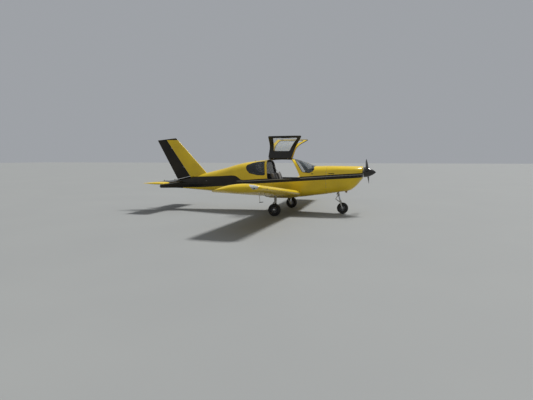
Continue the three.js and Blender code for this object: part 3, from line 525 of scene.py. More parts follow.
def airframe_paint(name, attribute=None, framed=True):
    """Yellow fuselage paint with the black stripe that widens into the tail's panel, an exhaust
    stain and painted shade under the belly.
    """
    yellow, black, pale = paint_colours()
    recipe = Recipe(name, **POLISHED)
    spot = recipe.spot(attribute)
    x, y, z = recipe.axes(spot)
    station = HALF_LENGTH - x
    top = recipe.along(station, STRIPE_TOP)
    low = recipe.along(station, STRIPE_LOW)
    stripe = (top - z).past(0.0) * (z - low).past(0.0)
    stripe = stripe.above(station.past(6.67, 0.002))
    middle = 1.0 - abs(z - recipe.along(station, STRIPE_LINE)).past(0.008)
    line = middle * (1.0 - station.past(4.44, 0.08)) * stripe
    colour = recipe.blend(stripe, yellow, soft_black(recipe, spot, black))
    colour = recipe.blend(line, colour, pale)
    around = z - abs(y)
    relief = None
    if framed:
        rivets = None
        for frame_station in FRAME_STATIONS:
            row = rivet_row(abs(station - frame_station) - 0.011, around)
            rivets = row if rivets is None else rivets.above(row)
        lap = seam(station - 5.40).above(seam(station - 4.32)).above(seam(station - 6.28))
        relief = rivets * 0.5 - lap
        colour = recipe.blend(lap * 0.6, colour, SEAM_GRIME)
        colour = recipe.blend(rivets * 0.18, colour, RIVET_GRIME)
    # Painted shade: mottled darkening below 0.72 m stands in for the shade under the belly.
    belly_shade = (0.72 - z).above(0.0) * 4.0 * recipe.noise(spot, 5.0, 5.0)
    # A real exhaust stain streaks aft from the exhaust's exit.
    streak = (1.0 - abs(y + 0.15).past(0.11, 0.12)) * station.past(0.95,
        0.5) * (0.66 - z).past(0.0, 0.1)
    shade_and_stain = (belly_shade + streak * 0.55 * recipe.noise(spot, 9.0, 4.0)).held() * 0.8
    return lacquer(recipe, spot, colour, relief, 0.0006, shade_and_stain)


def wing_paint(name, walkway=True):
    """Yellow wing paint with rib and spar rivets, and a black non-slip walkway by the root."""
    yellow, black, _ = paint_colours()
    recipe = Recipe(name, **{**POLISHED, "coat_roughness": 0.08})
    spot = recipe.spot("own_place")
    x, y, z = recipe.axes(spot)
    out, back = abs(y), -x
    ribs = rivet_row(out.wrapped(RIB_PITCH), back, WING_RIVET_PITCH)
    spars = rivet_row(abs(back - 0.33) - 0.010, out, WING_RIVET_PITCH)
    spars = spars.above(rivet_row(back - 0.80, out, WING_RIVET_PITCH))
    nose = rivet_row(back - 0.12, out, WING_RIVET_PITCH)
    rivets = ribs.above(spars).above(nose)
    lap = seam(back - 0.345).above(seam(out - 2.04)).above(seam(out - 0.99))
    colour = recipe.blend(lap * 0.55, yellow, SEAM_GRIME)
    colour = recipe.blend(rivets * 0.2, colour, RIVET_GRIME)
    relief = rivets * 0.5 - lap
    if walkway:
        start, end, inner, outer = WALKWAY
        pad = back.past(start) * (end - back).past(0.0) * out.past(inner) * (outer - out).past(0.0)
        pad = pad * z.past(0.0)
        grit = recipe.noise(spot, 900.0, 2.0, 0.8)
        colour = recipe.blend(pad, colour, recipe.blend(grit, black, (0.07, 0.07, 0.07)))
        relief = relief + pad * grit
    return lacquer(recipe, spot, colour, relief, 0.0006)


def tail_paint(name, kind):
    """Fin, rudder and stabilator paint: yellow and black parted by straight edges, and a painted
    highlight on the fin's aft edge.
    """
    yellow, black, pale = paint_colours()
    recipe = Recipe(name, **POLISHED)
    spot = recipe.spot()
    x, y, z = recipe.axes(spot)
    station = HALF_LENGTH - x
    dark = soft_black(recipe, spot, black)
    relief = None
    if kind == "fin":
        (low_station, low_z), (top_station, top_z) = ((v * MM for v in p) for p in FIN_HINGE)
        hinge = (z - low_z) * ((top_station - low_station) / (top_z - low_z)) + low_station
        # Painted highlight: a thin pale strip along the fin's aft edge stands in for light catching
        # that edge.
        edge = (station - (hinge - 0.048)).past(0.0)
        colour = recipe.blend(edge, yellow, pale)
        colour = recipe.blend(z.past(2.432), colour, dark)
        rows = rivet_row((station - hinge) + 0.10,
            z).above(rivet_row(z.wrapped(TAIL_RIB_PITCH), station))
        relief = rows * 0.5
        colour = recipe.blend(rows * 0.15, colour, RIVET_GRIME)
    elif kind == "rudder":
        colour = dark
        relief = seam(z.wrapped(TAIL_RIB_PITCH / 2), 0.004) * 0.8
    else:
        colour = recipe.blend(abs(y).past(1.2), dark, yellow)
        relief = rivet_row(abs(y).wrapped(TAIL_RIB_PITCH),
            station) * 0.5 - seam(station - 7.21, 0.0016)
    return lacquer(recipe, spot, colour, relief, 0.0006)


def plain_paint(name, colour, **constants):
    recipe = Recipe(name, **{"coat_weight": 0.5, "coat_roughness": 0.07, **constants})
    return lacquer(recipe, recipe.spot(), colour)


def pane(name, tint, alpha):
    """Clear acrylic with faint polishing haze."""
    recipe = Recipe(name, roughness=0.03, ior=1.49, specular_ior_level=0.8)
    spot = recipe.spot()
    haze = recipe.noise(spot, 9.0, 5.0)
    recipe.link("Base Color", recipe.blend(haze, tint, tuple(c * 1.3 for c in tint)))
    recipe.link("Roughness", 0.02 + haze * 0.05)
    recipe.link("Alpha", alpha + (haze - 0.5) * 0.06)
    return recipe.material


def rubber(name, colour=(0.016, 0.016, 0.017), scale=220.0):
    recipe = Recipe(name, specular_ior_level=0.35)
    spot = recipe.spot()
    grain = recipe.noise(spot, scale, 3.0)
    dust = recipe.noise(spot, 7.0, 4.0)
    recipe.link("Base Color", recipe.blend(dust * 0.5, colour, (0.06, 0.055, 0.045)))
    recipe.link("Roughness", 0.62 + dust * 0.25)
    recipe.relief(grain, 0.0003, 0.5)
    return recipe.material


def metal(name, colour, roughness=0.3, brushed=None, metallic=1.0):
    """Bare metal: faint brushing along an axis and fingerprints in the gloss."""
    recipe = Recipe(name, metallic=metallic)
    spot = recipe.spot()
    if brushed:
        spot = recipe.node("ShaderNodeMapping", inputs={"Vector": spot, "Scale": brushed})
    smear = recipe.noise(recipe.spot(), 14.0, 4.0)
    lines = recipe.noise(spot, 120.0, 3.0)
    recipe.link("Base Color", recipe.blend(smear * 0.4, colour, tuple(c * 0.7 for c in colour)))
    recipe.link("Roughness", roughness + (smear - 0.5) * 0.2 + (lines - 0.5) * 0.1)
    recipe.relief(lines, 0.0001, 0.3)
    return recipe.material


def plastic(name, colour, roughness=0.5, grain=700.0):
    """Moulded plastic with a fine leather grain."""
    recipe = Recipe(name)
    spot = recipe.spot()
    leather = recipe.node("ShaderNodeTexVoronoi", inputs={"Vector": spot, "Scale": grain})
    cloud = recipe.noise(spot, 5.0, 3.0)
    recipe.link("Base Color", recipe.blend(cloud * 0.5, colour, tuple(c * 0.75 for c in colour)))
    recipe.link("Roughness", roughness + (cloud - 0.5) * 0.15)
    recipe.relief(leather, 0.0002, 0.5)
    return recipe.material


def cloth(name, colour, other, pitch=0.004):
    """Woven upholstery: two thread directions and a slow change of shade."""
    recipe = Recipe(name, specular_ior_level=0.2, sheen_weight=0.25, sheen_roughness=0.5)
    spot = recipe.spot()
    x, y, z = recipe.axes(spot)
    warp = (x + z).wrapped(pitch) / pitch * 2.0
    weave = warp.above(y.wrapped(pitch) / pitch * 2.0)
    shade = recipe.noise(spot, 6.0, 4.0)
    recipe.link("Base Color", recipe.blend(weave * 0.6 + shade * 0.4, colour, other))
    recipe.link("Roughness", 0.82 + shade * 0.12)
    recipe.relief(weave + recipe.noise(spot, 300.0) * 0.6, 0.0006, 0.7)
    return recipe.material


def lens(name, colour, alpha, glow=0.0):
    recipe = Recipe(name, roughness=0.05, ior=1.5, emission_strength=glow)
    spot = recipe.spot()
    ribs = recipe.axes(spot)[2].wrapped(0.006) / 0.006
    recipe.link("Base Color", recipe.blend(ribs, colour, tuple(min(1.0, c * 1.3) for c in colour)))
    recipe.link("Alpha", alpha + ribs * 0.05)
    recipe.relief(ribs, 0.0006, 0.4)
    return recipe.material


def blade_finish(name):
    """Satin dark blades with a worn leading edge."""
    recipe = Recipe(name, metallic=0.0, specular_ior_level=0.5)
    spot = recipe.spot()
    smear = recipe.noise(spot, 9.0, 4.0)
    chips = recipe.noise(spot, 190.0, 2.0).past(0.735, 0.03)
    recipe.link("Base Color", recipe.blend(chips * 0.5, recipe.blend(smear, (0.018, 0.018, 0.019),
        (0.035, 0.035, 0.036)), (0.35, 0.35, 0.36)))
    recipe.link("Metallic", chips * 0.6)
    recipe.link("Roughness", 0.42 + smear * 0.15)
    recipe.relief(chips, 0.0002, 0.3)
    return recipe.material


def heated_steel(name):
    """Exhaust steel that turns straw, brown and blue towards its hot end."""
    recipe = Recipe(name, metallic=1.0)
    spot = recipe.spot()
    heat = (recipe.axes(spot)[2] - 0.68) * 2.6 + recipe.noise(spot, 11.0, 4.0) * 0.35
    tint = recipe.node("ShaderNodeValToRGB",
        {"stops": ((0.05, (0.16, 0.13, 0.11)), (0.3, (0.30, 0.20, 0.11)),
        (0.55, (0.16, 0.12, 0.16)), (0.8, (0.22, 0.23, 0.26)))}, {"Fac": heat})
    recipe.link("Base Color", tint)
    recipe.link("Roughness", 0.42 + recipe.noise(spot, 30.0) * 0.25)
    recipe.relief(recipe.noise(spot, 160.0), 0.0003, 0.4)
    return recipe.material


# Each finish by name: its maker and what the maker is given
FINISHES = {
    "fuselage paint": (airframe_paint,),
    "door paint": (airframe_paint, "own_place", False),
    "wing paint": (wing_paint,),
    "fillet paint": (wing_paint, False),
    "tip paint": (wing_paint, False),
    "fin paint": (tail_paint, "fin"),
    "rudder paint": (tail_paint, "rudder"),
    "stabilator paint": (tail_paint, "stabilator"),
    "gear enamel": (plain_paint, (0.50, 0.50, 0.48), {"specular_ior_level": 0.4}),
    "hinge black": (
        plain_paint, (0.006, 0.006, 0.0065), {"coat_weight": 0.2, "specular_ior_level": 0.25},
    ),
    "white fittings": (plain_paint, (0.62, 0.62, 0.60)),
    "spinner paint": (
        plain_paint, (0.007, 0.007, 0.008), {"coat_weight": 0.25, "coat_roughness": 0.22},
    ),
    "seat frame enamel": (plain_paint, (0.05, 0.05, 0.052)),
    "blade paint": (blade_finish,),
    "chromed steel": (metal, (0.62, 0.63, 0.65), 0.12),
    "plated steel": (metal, (0.36, 0.35, 0.33), 0.38),
    "cast wheel alloy": (metal, (0.20, 0.205, 0.215), 0.5, None, 0.85),
    "cadmium plate": (metal, (0.58, 0.55, 0.46), 0.38),
    "dark alloy": (metal, (0.035, 0.035, 0.036), 0.5),
    "hub alloy": (metal, (0.45, 0.45, 0.46), 0.35),
    "caliper alloy": (metal, (0.30, 0.29, 0.27), 0.5),
    "rail alloy": (metal, (0.30, 0.30, 0.31), 0.4),
    "crankcase alloy": (metal, (0.16, 0.16, 0.165), 0.5, None, 0.7),
    "firewall steel": (metal, (0.34, 0.34, 0.33), 0.4),
    "cylinder alloy": (metal, (0.10, 0.10, 0.105), 0.55, None, 0.6),
    "brake disc steel": (metal, (0.42, 0.41, 0.40), 0.28),
    "heated steel": (heated_steel,),
    # Painted shade: the rear panes are tinted dark so that the cabin behind them looks shaded.
    "tinted acrylic": (pane, (0.022, 0.027, 0.030), 0.55),
    "windscreen acrylic": (pane, (0.10, 0.12, 0.13), 0.30),
    "clear acrylic": (pane, (0.55, 0.60, 0.62), 0.16),
    "dial glass": (pane, (0.012, 0.014, 0.016), 1.0),
    "clear tail lens": (lens, (0.85, 0.87, 0.88), 0.75),
    "clear tip lens": (lens, (0.85, 0.87, 0.88), 0.42),
    "left lamp glass": (lens, (0.75, 0.03, 0.02), 0.85, 0.3),
    "right lamp glass": (lens, (0.02, 0.45, 0.12), 0.85, 0.3),
    "window seal rubber": (rubber,),
    "hose rubber": (rubber, (0.012, 0.012, 0.013)),
    "tyre rubber": (rubber, (0.014, 0.014, 0.015), 500.0),
    "cabin lining": (plastic, (0.085, 0.082, 0.078), 0.75, 420.0),
    "inner primer": (plastic, (0.16, 0.17, 0.12), 0.7, 160.0),
    "door lining": (plastic, (0.014, 0.014, 0.015), 0.55, 420.0),
    "panel plastic": (plastic, (0.016, 0.016, 0.017), 0.55, 500.0),
    "dial white": (plastic, (0.75, 0.75, 0.72), 0.5),
    "baffle": (plastic, (0.020, 0.020, 0.021), 0.7),
    "lamp housing": (plastic, (0.02, 0.02, 0.022), 0.4),
    "cuff rubber": (plastic, (0.02, 0.02, 0.021), 0.5),
    "glareshield": (plastic, (0.012, 0.012, 0.012), 0.8, 300.0),
    "piping": (plastic, (0.03, 0.028, 0.026), 0.6),
    "throttle knob": (plastic, (0.012, 0.012, 0.013), 0.35),
    "propeller knob": (plastic, (0.02, 0.06, 0.35), 0.35),
    "mixture knob": (plastic, (0.42, 0.02, 0.015), 0.35),
    "seat weave": (cloth, (0.105, 0.098, 0.088), (0.20, 0.185, 0.165)),
    "cabin carpet": (cloth, (0.030, 0.031, 0.034), (0.052, 0.054, 0.058), 0.006),
    "belt webbing": (cloth, (0.016, 0.016, 0.018), (0.04, 0.04, 0.043), 0.003),
    "wall felt": (cloth, (0.05, 0.05, 0.052), (0.075, 0.075, 0.078), 0.005),
}


def finish(name):
    """The finish of a name in the table, made the first time that it is asked for."""
    maker, *given = FINISHES[name]
    constants = given.pop() if given and isinstance(given[-1], dict) else {}
    return bpy.data.materials.get(name) or maker(name, *given, **constants)

# Fuselage skin

HULL_COLUMNS = list(zip(*HULL))


def rises(values):
    """Slopes of a curve through the table that never overshoots it."""
    stations = HULL_COLUMNS[0]
    steps = [(b - a) / (t - s) for a, b, s, t in zip(values, values[1:], stations, stations[1:])]
    slopes = [steps[0]]
    for before, after in zip(steps, steps[1:]):
        slopes.append(0.0 if before * after <= 0 else 2 * before * after / (before + after))
    return [*slopes, steps[-1]]


HULL_SLOPES = [rises(column) for column in HULL_COLUMNS[1:]]


def hull_sizes(station):
    """The section's sizes at any station."""
    stations = HULL_COLUMNS[0]
    station = min(max(station, stations[0]), stations[-1])
    k = max(i for i, s in enumerate(stations[:-1]) if s <= station)
    gap = stations[k + 1] - stations[k]
    t = (station - stations[k]) / gap
    sizes = []
    for column, slopes in zip(HULL_COLUMNS[1:], HULL_SLOPES):
        a, b, c, d = column[k], column[k + 1], slopes[k] * gap, slopes[k + 1] * gap
        sizes.append(a + c * t + (3 * (b - a) - 2 * c - d) * t**2 + (2 * (a - b) + c + d) * t**3)
    return sizes


def corner(a, b, c, steps):
    """A round between two straights that meet at b."""
    return [a * (1 - t) ** 2 + b * (2 * t * (1 - t)) + c * t**2
        for t in (k / steps for k in range(steps + 1))]


def straight(a, b, steps):
    return [a.lerp(b, k / steps) for k in range(1, steps)]


def hull_ring(station, inset=0.0):
    """The closed section at a station, from the crown round by the left side."""
    crown, eave_y, eave_z, belt_y, belt_z, chine_y, belly, soft, soft_low = hull_sizes(station)
    top = Vector((0, crown - inset))
    eave = Vector((eave_y - inset, eave_z - inset))
    belt = Vector((belt_y - inset, belt_z))
    chine = Vector((chine_y - inset, belly + inset))
    keel = Vector((0, belly + inset))
    first = eave.lerp(top, soft)
    roof = []
    for k in range(ROOF_STEPS):
        t = k / ROOF_STEPS
        drop = 2 * t * t - t**3
        roof.append(Vector((first.x * t, top.y + (first.y - top.y) * drop)))
    upper_end = eave.lerp(belt, soft)
    belt_in, belt_out = belt.lerp(eave, BELT_SOFT), belt.lerp(chine, BELT_SOFT)
    chine_in, chine_out = chine.lerp(belt, soft_low), chine.lerp(keel, soft_low)
    half = [*roof, *corner(first, eave, upper_end, EAVE_STEPS), *straight(upper_end, belt_in,
        SIDE_STEPS), *corner(belt_in, belt, belt_out, BELT_STEPS), *straight(belt_out, chine_in,
        SIDE_STEPS), *corner(chine_in, chine, chine_out, CHINE_STEPS), *straight(chine_out, keel,
        BELLY_STEPS), keel]
    mirrored = [Vector((-p.x, p.y)) for p in half[-2:0:-1]]
    return [place(station, p.x, p.y) for p in half + mirrored]


def hull_rings():
    first, last = HULL[0][0], HULL[-1][0]
    rings = [hull_ring(first + back, inset) for back, inset in NOSE_LIP]
    stations = [first + NOSE_LIP[-1][0], *(row[0] for row in HULL[1:-1]), last - TAIL_LIP[0][0]]
    for start, end in zip(stations, stations[1:]):
        steps = max(1, math.ceil((end - start) / RING_STEP))
        rings += [hull_ring(start + (end - start) * k / steps) for k in range(1, steps + 1)]
    return rings + [hull_ring(last - ahead, inset) for ahead, inset in TAIL_LIP[1:]]


def plane(points, side, inner):
    """A plane through three points, its normal away from a point inside the opening."""
    a, b, c = (place(s, side * y, z) for s, y, z in points)
    normal = (b - a).cross(c - a).normalized()
    inner = place(inner[0], side * inner[1], inner[2])
    return (a, normal if (inner - a).dot(normal) < 0 else -normal)


def level(z, up):
    return (Vector((0, 0, z * MM)), Vector((0, 0, up)))


def upright(station, ahead):
    return (Vector((at(station), 0, 0)), Vector((ahead, 0, 0)))


def sideways(y, out):
    return (Vector((0, y * MM, 0)), Vector((0, out, 0)))


def outline_planes(outline, closed=True):
    """Planes across the body through the sides of an anticlockwise outline of (station, z)."""
    ends = list(zip(outline, outline[1:] + outline[:1])) if closed else list(
        zip(outline, outline[1:]))
    planes = []
    for (s, z), (t, w) in ends:
        planes.append((place(s, 0, z), Vector((-(w - z), 0, -(t - s))).normalized()))
    return planes


def rounded(planes, radius, steps=4, closed=True):
    """The same opening with rounds of a radius in millimetres between neighbouring planes."""
    radius *= MM
    pairs = list(zip(planes, planes[1:] + planes[:1])) if closed else list(zip(planes, planes[1:]))
    out = []
    for (p, n), (q, m) in pairs:
        out.append((p, n))
        axis = n.cross(m)
        if axis.length < 0.02:
            continue
        axis.normalize()
        middle = Matrix((n, m, axis)).inverted() @ Vector((n.dot(p) - radius,
            m.dot(q) - radius, axis.dot(p)))
        for k in range(1, steps + 1):
            turn = n.slerp(m, k / (steps + 1))
            out.append((middle + turn * radius, turn))
    return out if closed else [*out, planes[-1]]


def ring_planes(centre, radius):
    """Planes round a hole along X."""
    normals = [Vector((0, math.cos(t), math.sin(t))) for t in turns(40)]
    return [(centre + n * radius * MM, n) for n in normals]


def carve(bm, faces, planes):
    """Cuts faces along planes, in turn, and returns those inside all of them."""
    inside = list(faces)
    for point, normal in planes:
        touched = {edge for face in inside for edge in face.edges}
        corners = {vert for face in inside for vert in face.verts}
        cut = bmesh.ops.bisect_plane(bm, geom=[*inside, *touched, *corners], dist=2e-6,
            plane_co=point, plane_no=normal)
        inside = [g for g in cut["geom"] if isinstance(g, bmesh.types.BMFace)
            and (g.calc_center_median() - point).dot(normal) < 0]
    return inside


PANELS = [
    "tail_cone", "tail_boom", "cabin_lower", "front", "cowl_lower", "cowl_upper", "cabin_upper",
    "tail_light", "hole", "oil_door", "baggage_door", "door_left", "door_right",
    "windscreen_seal", "door_glass_left_seal", "door_glass_right_seal",
    "rear_window_left_seal", "rear_window_right_seal",
    "windscreen", "door_glass_left", "door_glass_right", "rear_window_left", "rear_window_right",
]
INLET_Y, INLET_HALF, INLET_Z = 268, 60, (1293, 1403)
SPINNER_HOLE = 168
SEAL_WIDTH = 16
DOOR_GAP = 7
HATCH_GAP = 1.6
skin_store = {}


def drawn_in(planes, distance):
    return [(point - normal * distance * MM, normal) for point, normal in planes]


def carved_skin():
    """The whole fuselage skin as one mesh, each face marked with the panel that it belongs to."""
    if skin_store:
        return skin_store["mesh"]
    bm = bmesh.new()
    loft(bm, hull_rings())
    bmesh.ops.recalc_face_normals(bm, faces=bm.faces)
    panel = bm.faces.layers.int.new("panel")

    def mark(name, within, planes, where=None):
        ids = {PANELS.index(w) for w in within}
        chosen = [f for f in bm.faces if f[panel] in ids
            and (where is None or where(f.calc_center_median()))]
        for face in carve(bm, chosen, planes):
            face[panel] = PANELS.index(name)

    def hatch(name, within, planes, where, gap, frame_name="hole"):
        mark(frame_name, within, planes, where)
        mark(name, [frame_name], drawn_in(planes, gap), where)

    mark("tail_boom", ["tail_cone"], [upright(CONE_START, -1)])
    mark("cabin_lower", ["tail_boom"], [upright(BOOM_START, -1)])
    mark("front", ["cabin_lower"], [upright(FRONT_END, -1)])
    mark("cowl_lower", ["front"], [upright(FIREWALL, -1)])
    mark("cowl_upper", ["cowl_lower"], [level(COWL_SPLIT_Z, -1)])
    mark("cabin_upper", ["cabin_lower"], [level(SILL_Z, -1)])
    mark("tail_light", ["tail_cone"], [upright(7630, 1)])

    def at_nose(p):
        return p.x > at(401)

    def below(p):
        return p.z < 0.95

    both = ["cowl_lower", "cowl_upper"]
    mark("hole", ["cowl_upper"], [level(COWL_SPLIT_Z + HATCH_GAP, 1)])
    mark("hole", ["front", *both], [upright(FIREWALL - HATCH_GAP, 1),
        upright(FIREWALL + HATCH_GAP, -1)])
    mark("hole", both, ring_planes(place(400, 0, SHAFT_Z), SPINNER_HOLE), at_nose)
    for side in (LEFT, RIGHT):
        inner, outer = sorted((side * (INLET_Y - INLET_HALF), side * (INLET_Y + INLET_HALF)))
        inlet = [sideways(inner, -1), level(INLET_Z[0], -1), sideways(outer, 1),
            level(INLET_Z[1], 1)]
        mark("hole", both, rounded(inlet, 46, 5), at_nose)
        vent = outline_planes([(1225, 1296), (1415, 1300), (1418, 1322), (1230, 1318)])
        mark("hole", ["cowl_upper"], rounded(vent, 7, 3), lambda p, s=side: p.y * s > 0.2)
    for x0, x1, half, shift in ((1000, 1300, 75, 0), (1400, 1480, 330, 0), (828, 942, 56, -150)):
        box = [upright(x0, 1), sideways(shift + half, 1), upright(x1, -1),
            sideways(shift - half, -1)]
        mark("hole", ["cowl_lower"], rounded(box, 24, 3), below)
    box = [upright(1010, 1), sideways(-95, 1), upright(1215, -1), sideways(-300, -1)]
    hatch("oil_door", ["cowl_upper"], rounded(box, 26, 3), lambda p: p.z > 1.4, HATCH_GAP)
    box = outline_planes([(4240, 860), (4640, 880), (4640, 1240), (4240, 1330)])
    hatch("baggage_door", ["cabin_lower", "cabin_upper"], rounded(box, 40, 4),
        lambda p: p.y > 0.3, HATCH_GAP)

    for name, side in SIDES:

        def this_half(p, s=side):
            return p.y * s > 0.0

        screen = outline_planes(list(SCREEN_SIDE), closed=False)
        rear = plane(SCREEN_REAR, side, (2000, 300, 1500))
        edge = rounded([*screen, rear], 45, 4, closed=False)
        hatch("windscreen", ["front", "cabin_upper"], edge, this_half, SEAL_WIDTH,
            "windscreen_seal")
        inner = (2850, 400, 1500)
        door = rounded([plane(DOOR_FRONT, side, inner), level(SILL_Z + 0.5, -1),
            plane(DOOR_REAR, side, inner), sideways(side * HINGE_Y, -side)], 42)
        hatch(f"door_{name}", ["cabin_upper"], door, this_half, DOOR_GAP)
        window = rounded([plane(PANE_FRONT, side, inner), level(PANE_LOW, -1),
            plane(PANE_REAR, side, inner), sideways(side * PANE_INNER_Y, -side)], 58, 5)
        glass = f"door_glass_{name}"
        hatch(glass, [f"door_{name}"], window, this_half, SEAL_WIDTH, glass + "_seal")
        rear_window = rounded(outline_planes(list(REAR_PANE)), 52, 5)
        glass = f"rear_window_{name}"
        hatch(glass, ["cabin_upper"], rear_window, this_half, SEAL_WIDTH, glass + "_seal")
    skin_store["mesh"] = bm
    return bm


def skin_panel(name):
    """A copy of one panel of the skin."""
    bm = carved_skin().copy()
    panel = bm.faces.layers.int["panel"]
    others = [f for f in bm.faces if f[panel] != PANELS.index(name)]
    bmesh.ops.delete(bm, geom=others, context="FACES")
    return bm


def add_skins():
    """Cowls, cabin shell, boom and tail cone, each one panel of the same carved skin."""
    cowl, cabin, boom = walled(0.010, 1), walled(0.026, 1), walled(0.010, 1)
    rows = (("cowl_upper", "cowl_upper_panel", cowl, "inner primer", "yellow_composite",
        "cowl_upper"), ("cowl_lower", "cowl_lower_panel", cowl, "inner primer", "yellow_composite",
        "cowl_lower"), ("oil_door", "oil_filler_door", cowl, "inner primer", "yellow_composite",
        None), ("front", "front_fuselage_skin", cabin, "cabin lining", "yellow_paint",
        "fuselage_front"), ("cabin_lower", "cabin_side_skin", cabin, "cabin lining", "yellow_paint",
        "cabin_tub"), ("baggage_door", "baggage_door", cabin, "cabin lining", "yellow_paint", None),
        ("cabin_upper", "cabin_roof_skin", cabin, "cabin lining", "yellow_composite", "cabin_top"),
        ("tail_boom", "tail_boom_skin", boom, "inner primer", "yellow_paint", "tail_boom"),
        ("tail_cone", "tail_cone_skin", boom, "inner primer", "black_composite", "tail_cone"))
    for panel, name, wall, inside, slot, node in rows:
        seen(skin_panel(panel), name, ("fuselage paint", inside), node, mend=False, wall=wall)
    seen(skin_panel("tail_light"), "tail_position_light", "clear tail lens",
        mend=False, wall=walled(0.004))


def add_window(panel, name, seal, look, node, body="airframe", own=None):
    """A pane, and its rubber that stands a little proud of the paint and backs the pane."""
    seen(skin_panel(panel), name, look, node, body, mend=False,
        wall=walled(0.005), own=own)
    seen(skin_panel(panel + "_seal"), seal, "window seal rubber", None, body,
        mend=False, wall=walled(0.012, 0, -0.72), own=own)


def add_glazing():
    add_window("windscreen", "windscreen_pane", "windscreen_pane_seal",
        "windscreen acrylic", "windscreen")
    for name, _ in SIDES:
        node, pane_name = f"rear_window_{name}", f"rear_pane_{name}"
        add_window(node, pane_name, pane_name + "_seal", "tinted acrylic", node)


def door_swing(name, side):
    """The turn from a closed door to where it stands open."""
    hinge = mm(0, side * HINGE_Y, HINGE_Z)
    turn = Matrix.Rotation(side * DOOR_OPEN[name], 4, "X")
    return Matrix.Translation(hinge) @ turn @ Matrix.Translation(-hinge)


def add_doors():
    for name, side in SIDES:
        door, glass = f"door_{name}", f"door_glass_{name}"
        swing = door_swing(name, side)
        seen(skin_panel(door), f"door_panel_{name}", ("door paint", "door lining"),
            door, door, mend=False, wall=walled(0.026, 1), own=swing)
        add_window(glass, f"door_pane_{name}", f"door_pane_seal_{name}", "clear acrylic",
            glass, door, swing)


# Wings

CHORD = 1220
WING_ROOT = (2270, 620, 690)
DIHEDRAL, INCIDENCE = math.radians(6), math.radians(5.5)
WING_DEPTH, WING_CAMBER = 0.155, 0.018
SPAR_CHORD, HINGE_CHORD = 0.33, 0.79
HINGE_AFT = HINGE_CHORD * CHORD
RUNNING_GAP = 6
FLAP_SPAN, AILERON_SPAN = (140, 2480), (2500, 3960)
TIP_START = (4885 - 260 - WING_ROOT[1]) / math.cos(DIHEDRAL)
TIP_REACH = 254.6
# out, lead, chord, lift, thick as parts of the tip's reach and of the chord
TIP_ROWS = (
    (0, 0, 1, 0, 1),
    (0.22, 0.003, 0.996, 0.001, 0.985),
    (0.4, 0.012, 0.985, 0.004, 0.94),
    (0.55, 0.027, 0.962, 0.008, 0.87),
    (0.68, 0.05, 0.93, 0.012, 0.78),
    (0.78, 0.082, 0.885, 0.016, 0.68),
    (0.86, 0.12, 0.83, 0.02, 0.56),
    (0.92, 0.167, 0.764, 0.023, 0.44),
    (0.96, 0.22, 0.69, 0.026, 0.32),
    (1.0, 0.32, 0.54, 0.03, 0.14),
)
# How the root fillet stands off: distance from the body, growth of the section
COLLAR_ROWS = ((-16, 44), (-4, 36), (6, 25), (18, 15), (36, 7), (60, 2.5), (84, 0.7))
# The lens takes the tip's front corner: how far aft it reaches at the chord line, how much further
# aft with height, and where it starts along the span
LENS_AFT, LENS_LEAN, LENS_START = 220, 0.705, 4205
# How the tip's skin bulges above and below, in parts of the chord
TIP_BULGE = (0.038, 0.018)


def wing_frame(side):
    station, y, z = WING_ROOT
    turn = Matrix.Rotation(side * DIHEDRAL, 4, "X") @ Matrix.Rotation(-INCIDENCE, 4, "Y")
    return Matrix.Translation(place(station, side * y, z)) @ turn


def foil_heights(x, depth, camber):
    """The upper and lower surface of a four-digit section at a part of the chord."""
    half = 0.2969 * math.sqrt(x) - 0.126 * x - 0.3516 * x**2 + 0.2843 * x**3 - 0.1015 * x**4
    half = 5 * depth * half + 0.0012 * x
    if x < 0.4:
        mean = camber / 0.16 * (0.8 * x - x * x)
    else:
        mean = camber / 0.36 * (0.2 + 0.8 * x - x * x)
    return mean + half, mean - half


def wing_skin(back, face=1):
    """The height of the wing's skin behind its leading edge: face 0 is the top and 1 the bottom."""
    return foil_heights(back / CHORD, WING_DEPTH, WING_CAMBER)[face] * CHORD


def foil(depth, camber, steps=26):
    """A section from the trailing edge along the top, round the nose and back along the bottom."""
    spots = [(1 + math.cos(math.pi * k / steps)) / 2 for k in range(steps + 1)]
    upper = [(x, foil_heights(x, depth, camber)[0]) for x in spots]
    lower = [(x, foil_heights(x, depth, camber)[1]) for x in reversed(spots[:-1])]
    return upper + lower


def span_ring(section, side, y, lead=0.0, chord=CHORD, lift=0.0, thick=1.0):
    return [mm(-(lead + x * chord), side * y, lift + h * chord * thick) for x, h in section]


def hinged_section(depth, camber, hinge, chord):
    """A hinged surface's section: a round nose on the hinge line, then both skins aft of it."""
    top, low = (h * chord for h in foil_heights(hinge, depth, camber))
    half, middle = (top - low) / 2, (top + low) / 2
    nose = []
    for k in range(15):
        turn = math.pi * k / 14
        nose.append((hinge - (half - 1) * math.sin(turn) / chord,
            (middle + half * math.cos(turn)) / chord))
    spots = [hinge + (1 - hinge) * k / 8 for k in range(1, 9)]
    lower = [(x, foil_heights(x, depth, camber)[1]) for x in spots]
    upper = [(x, foil_heights(x, depth, camber)[0]) for x in reversed(spots)]
    return nose + lower + upper


def trim(bm, planes, frame=None):
    """Cuts away what lies outside planes and closes the cuts."""
    for point, normal in planes:
        if frame:
            point, normal = frame.inverted() @ point, (frame.inverted().to_3x3()
                @ normal).normalized()
        cut = bmesh.ops.bisect_plane(bm, geom=[*bm.verts, *bm.edges, *bm.faces], dist=1e-6,
            plane_co=point, plane_no=normal, clear_outer=True)["geom_cut"]
        edges = [g for g in cut if isinstance(g, bmesh.types.BMEdge) and g.is_boundary]
        if edges:
            bmesh.ops.holes_fill(bm, edges=edges, sides=0)


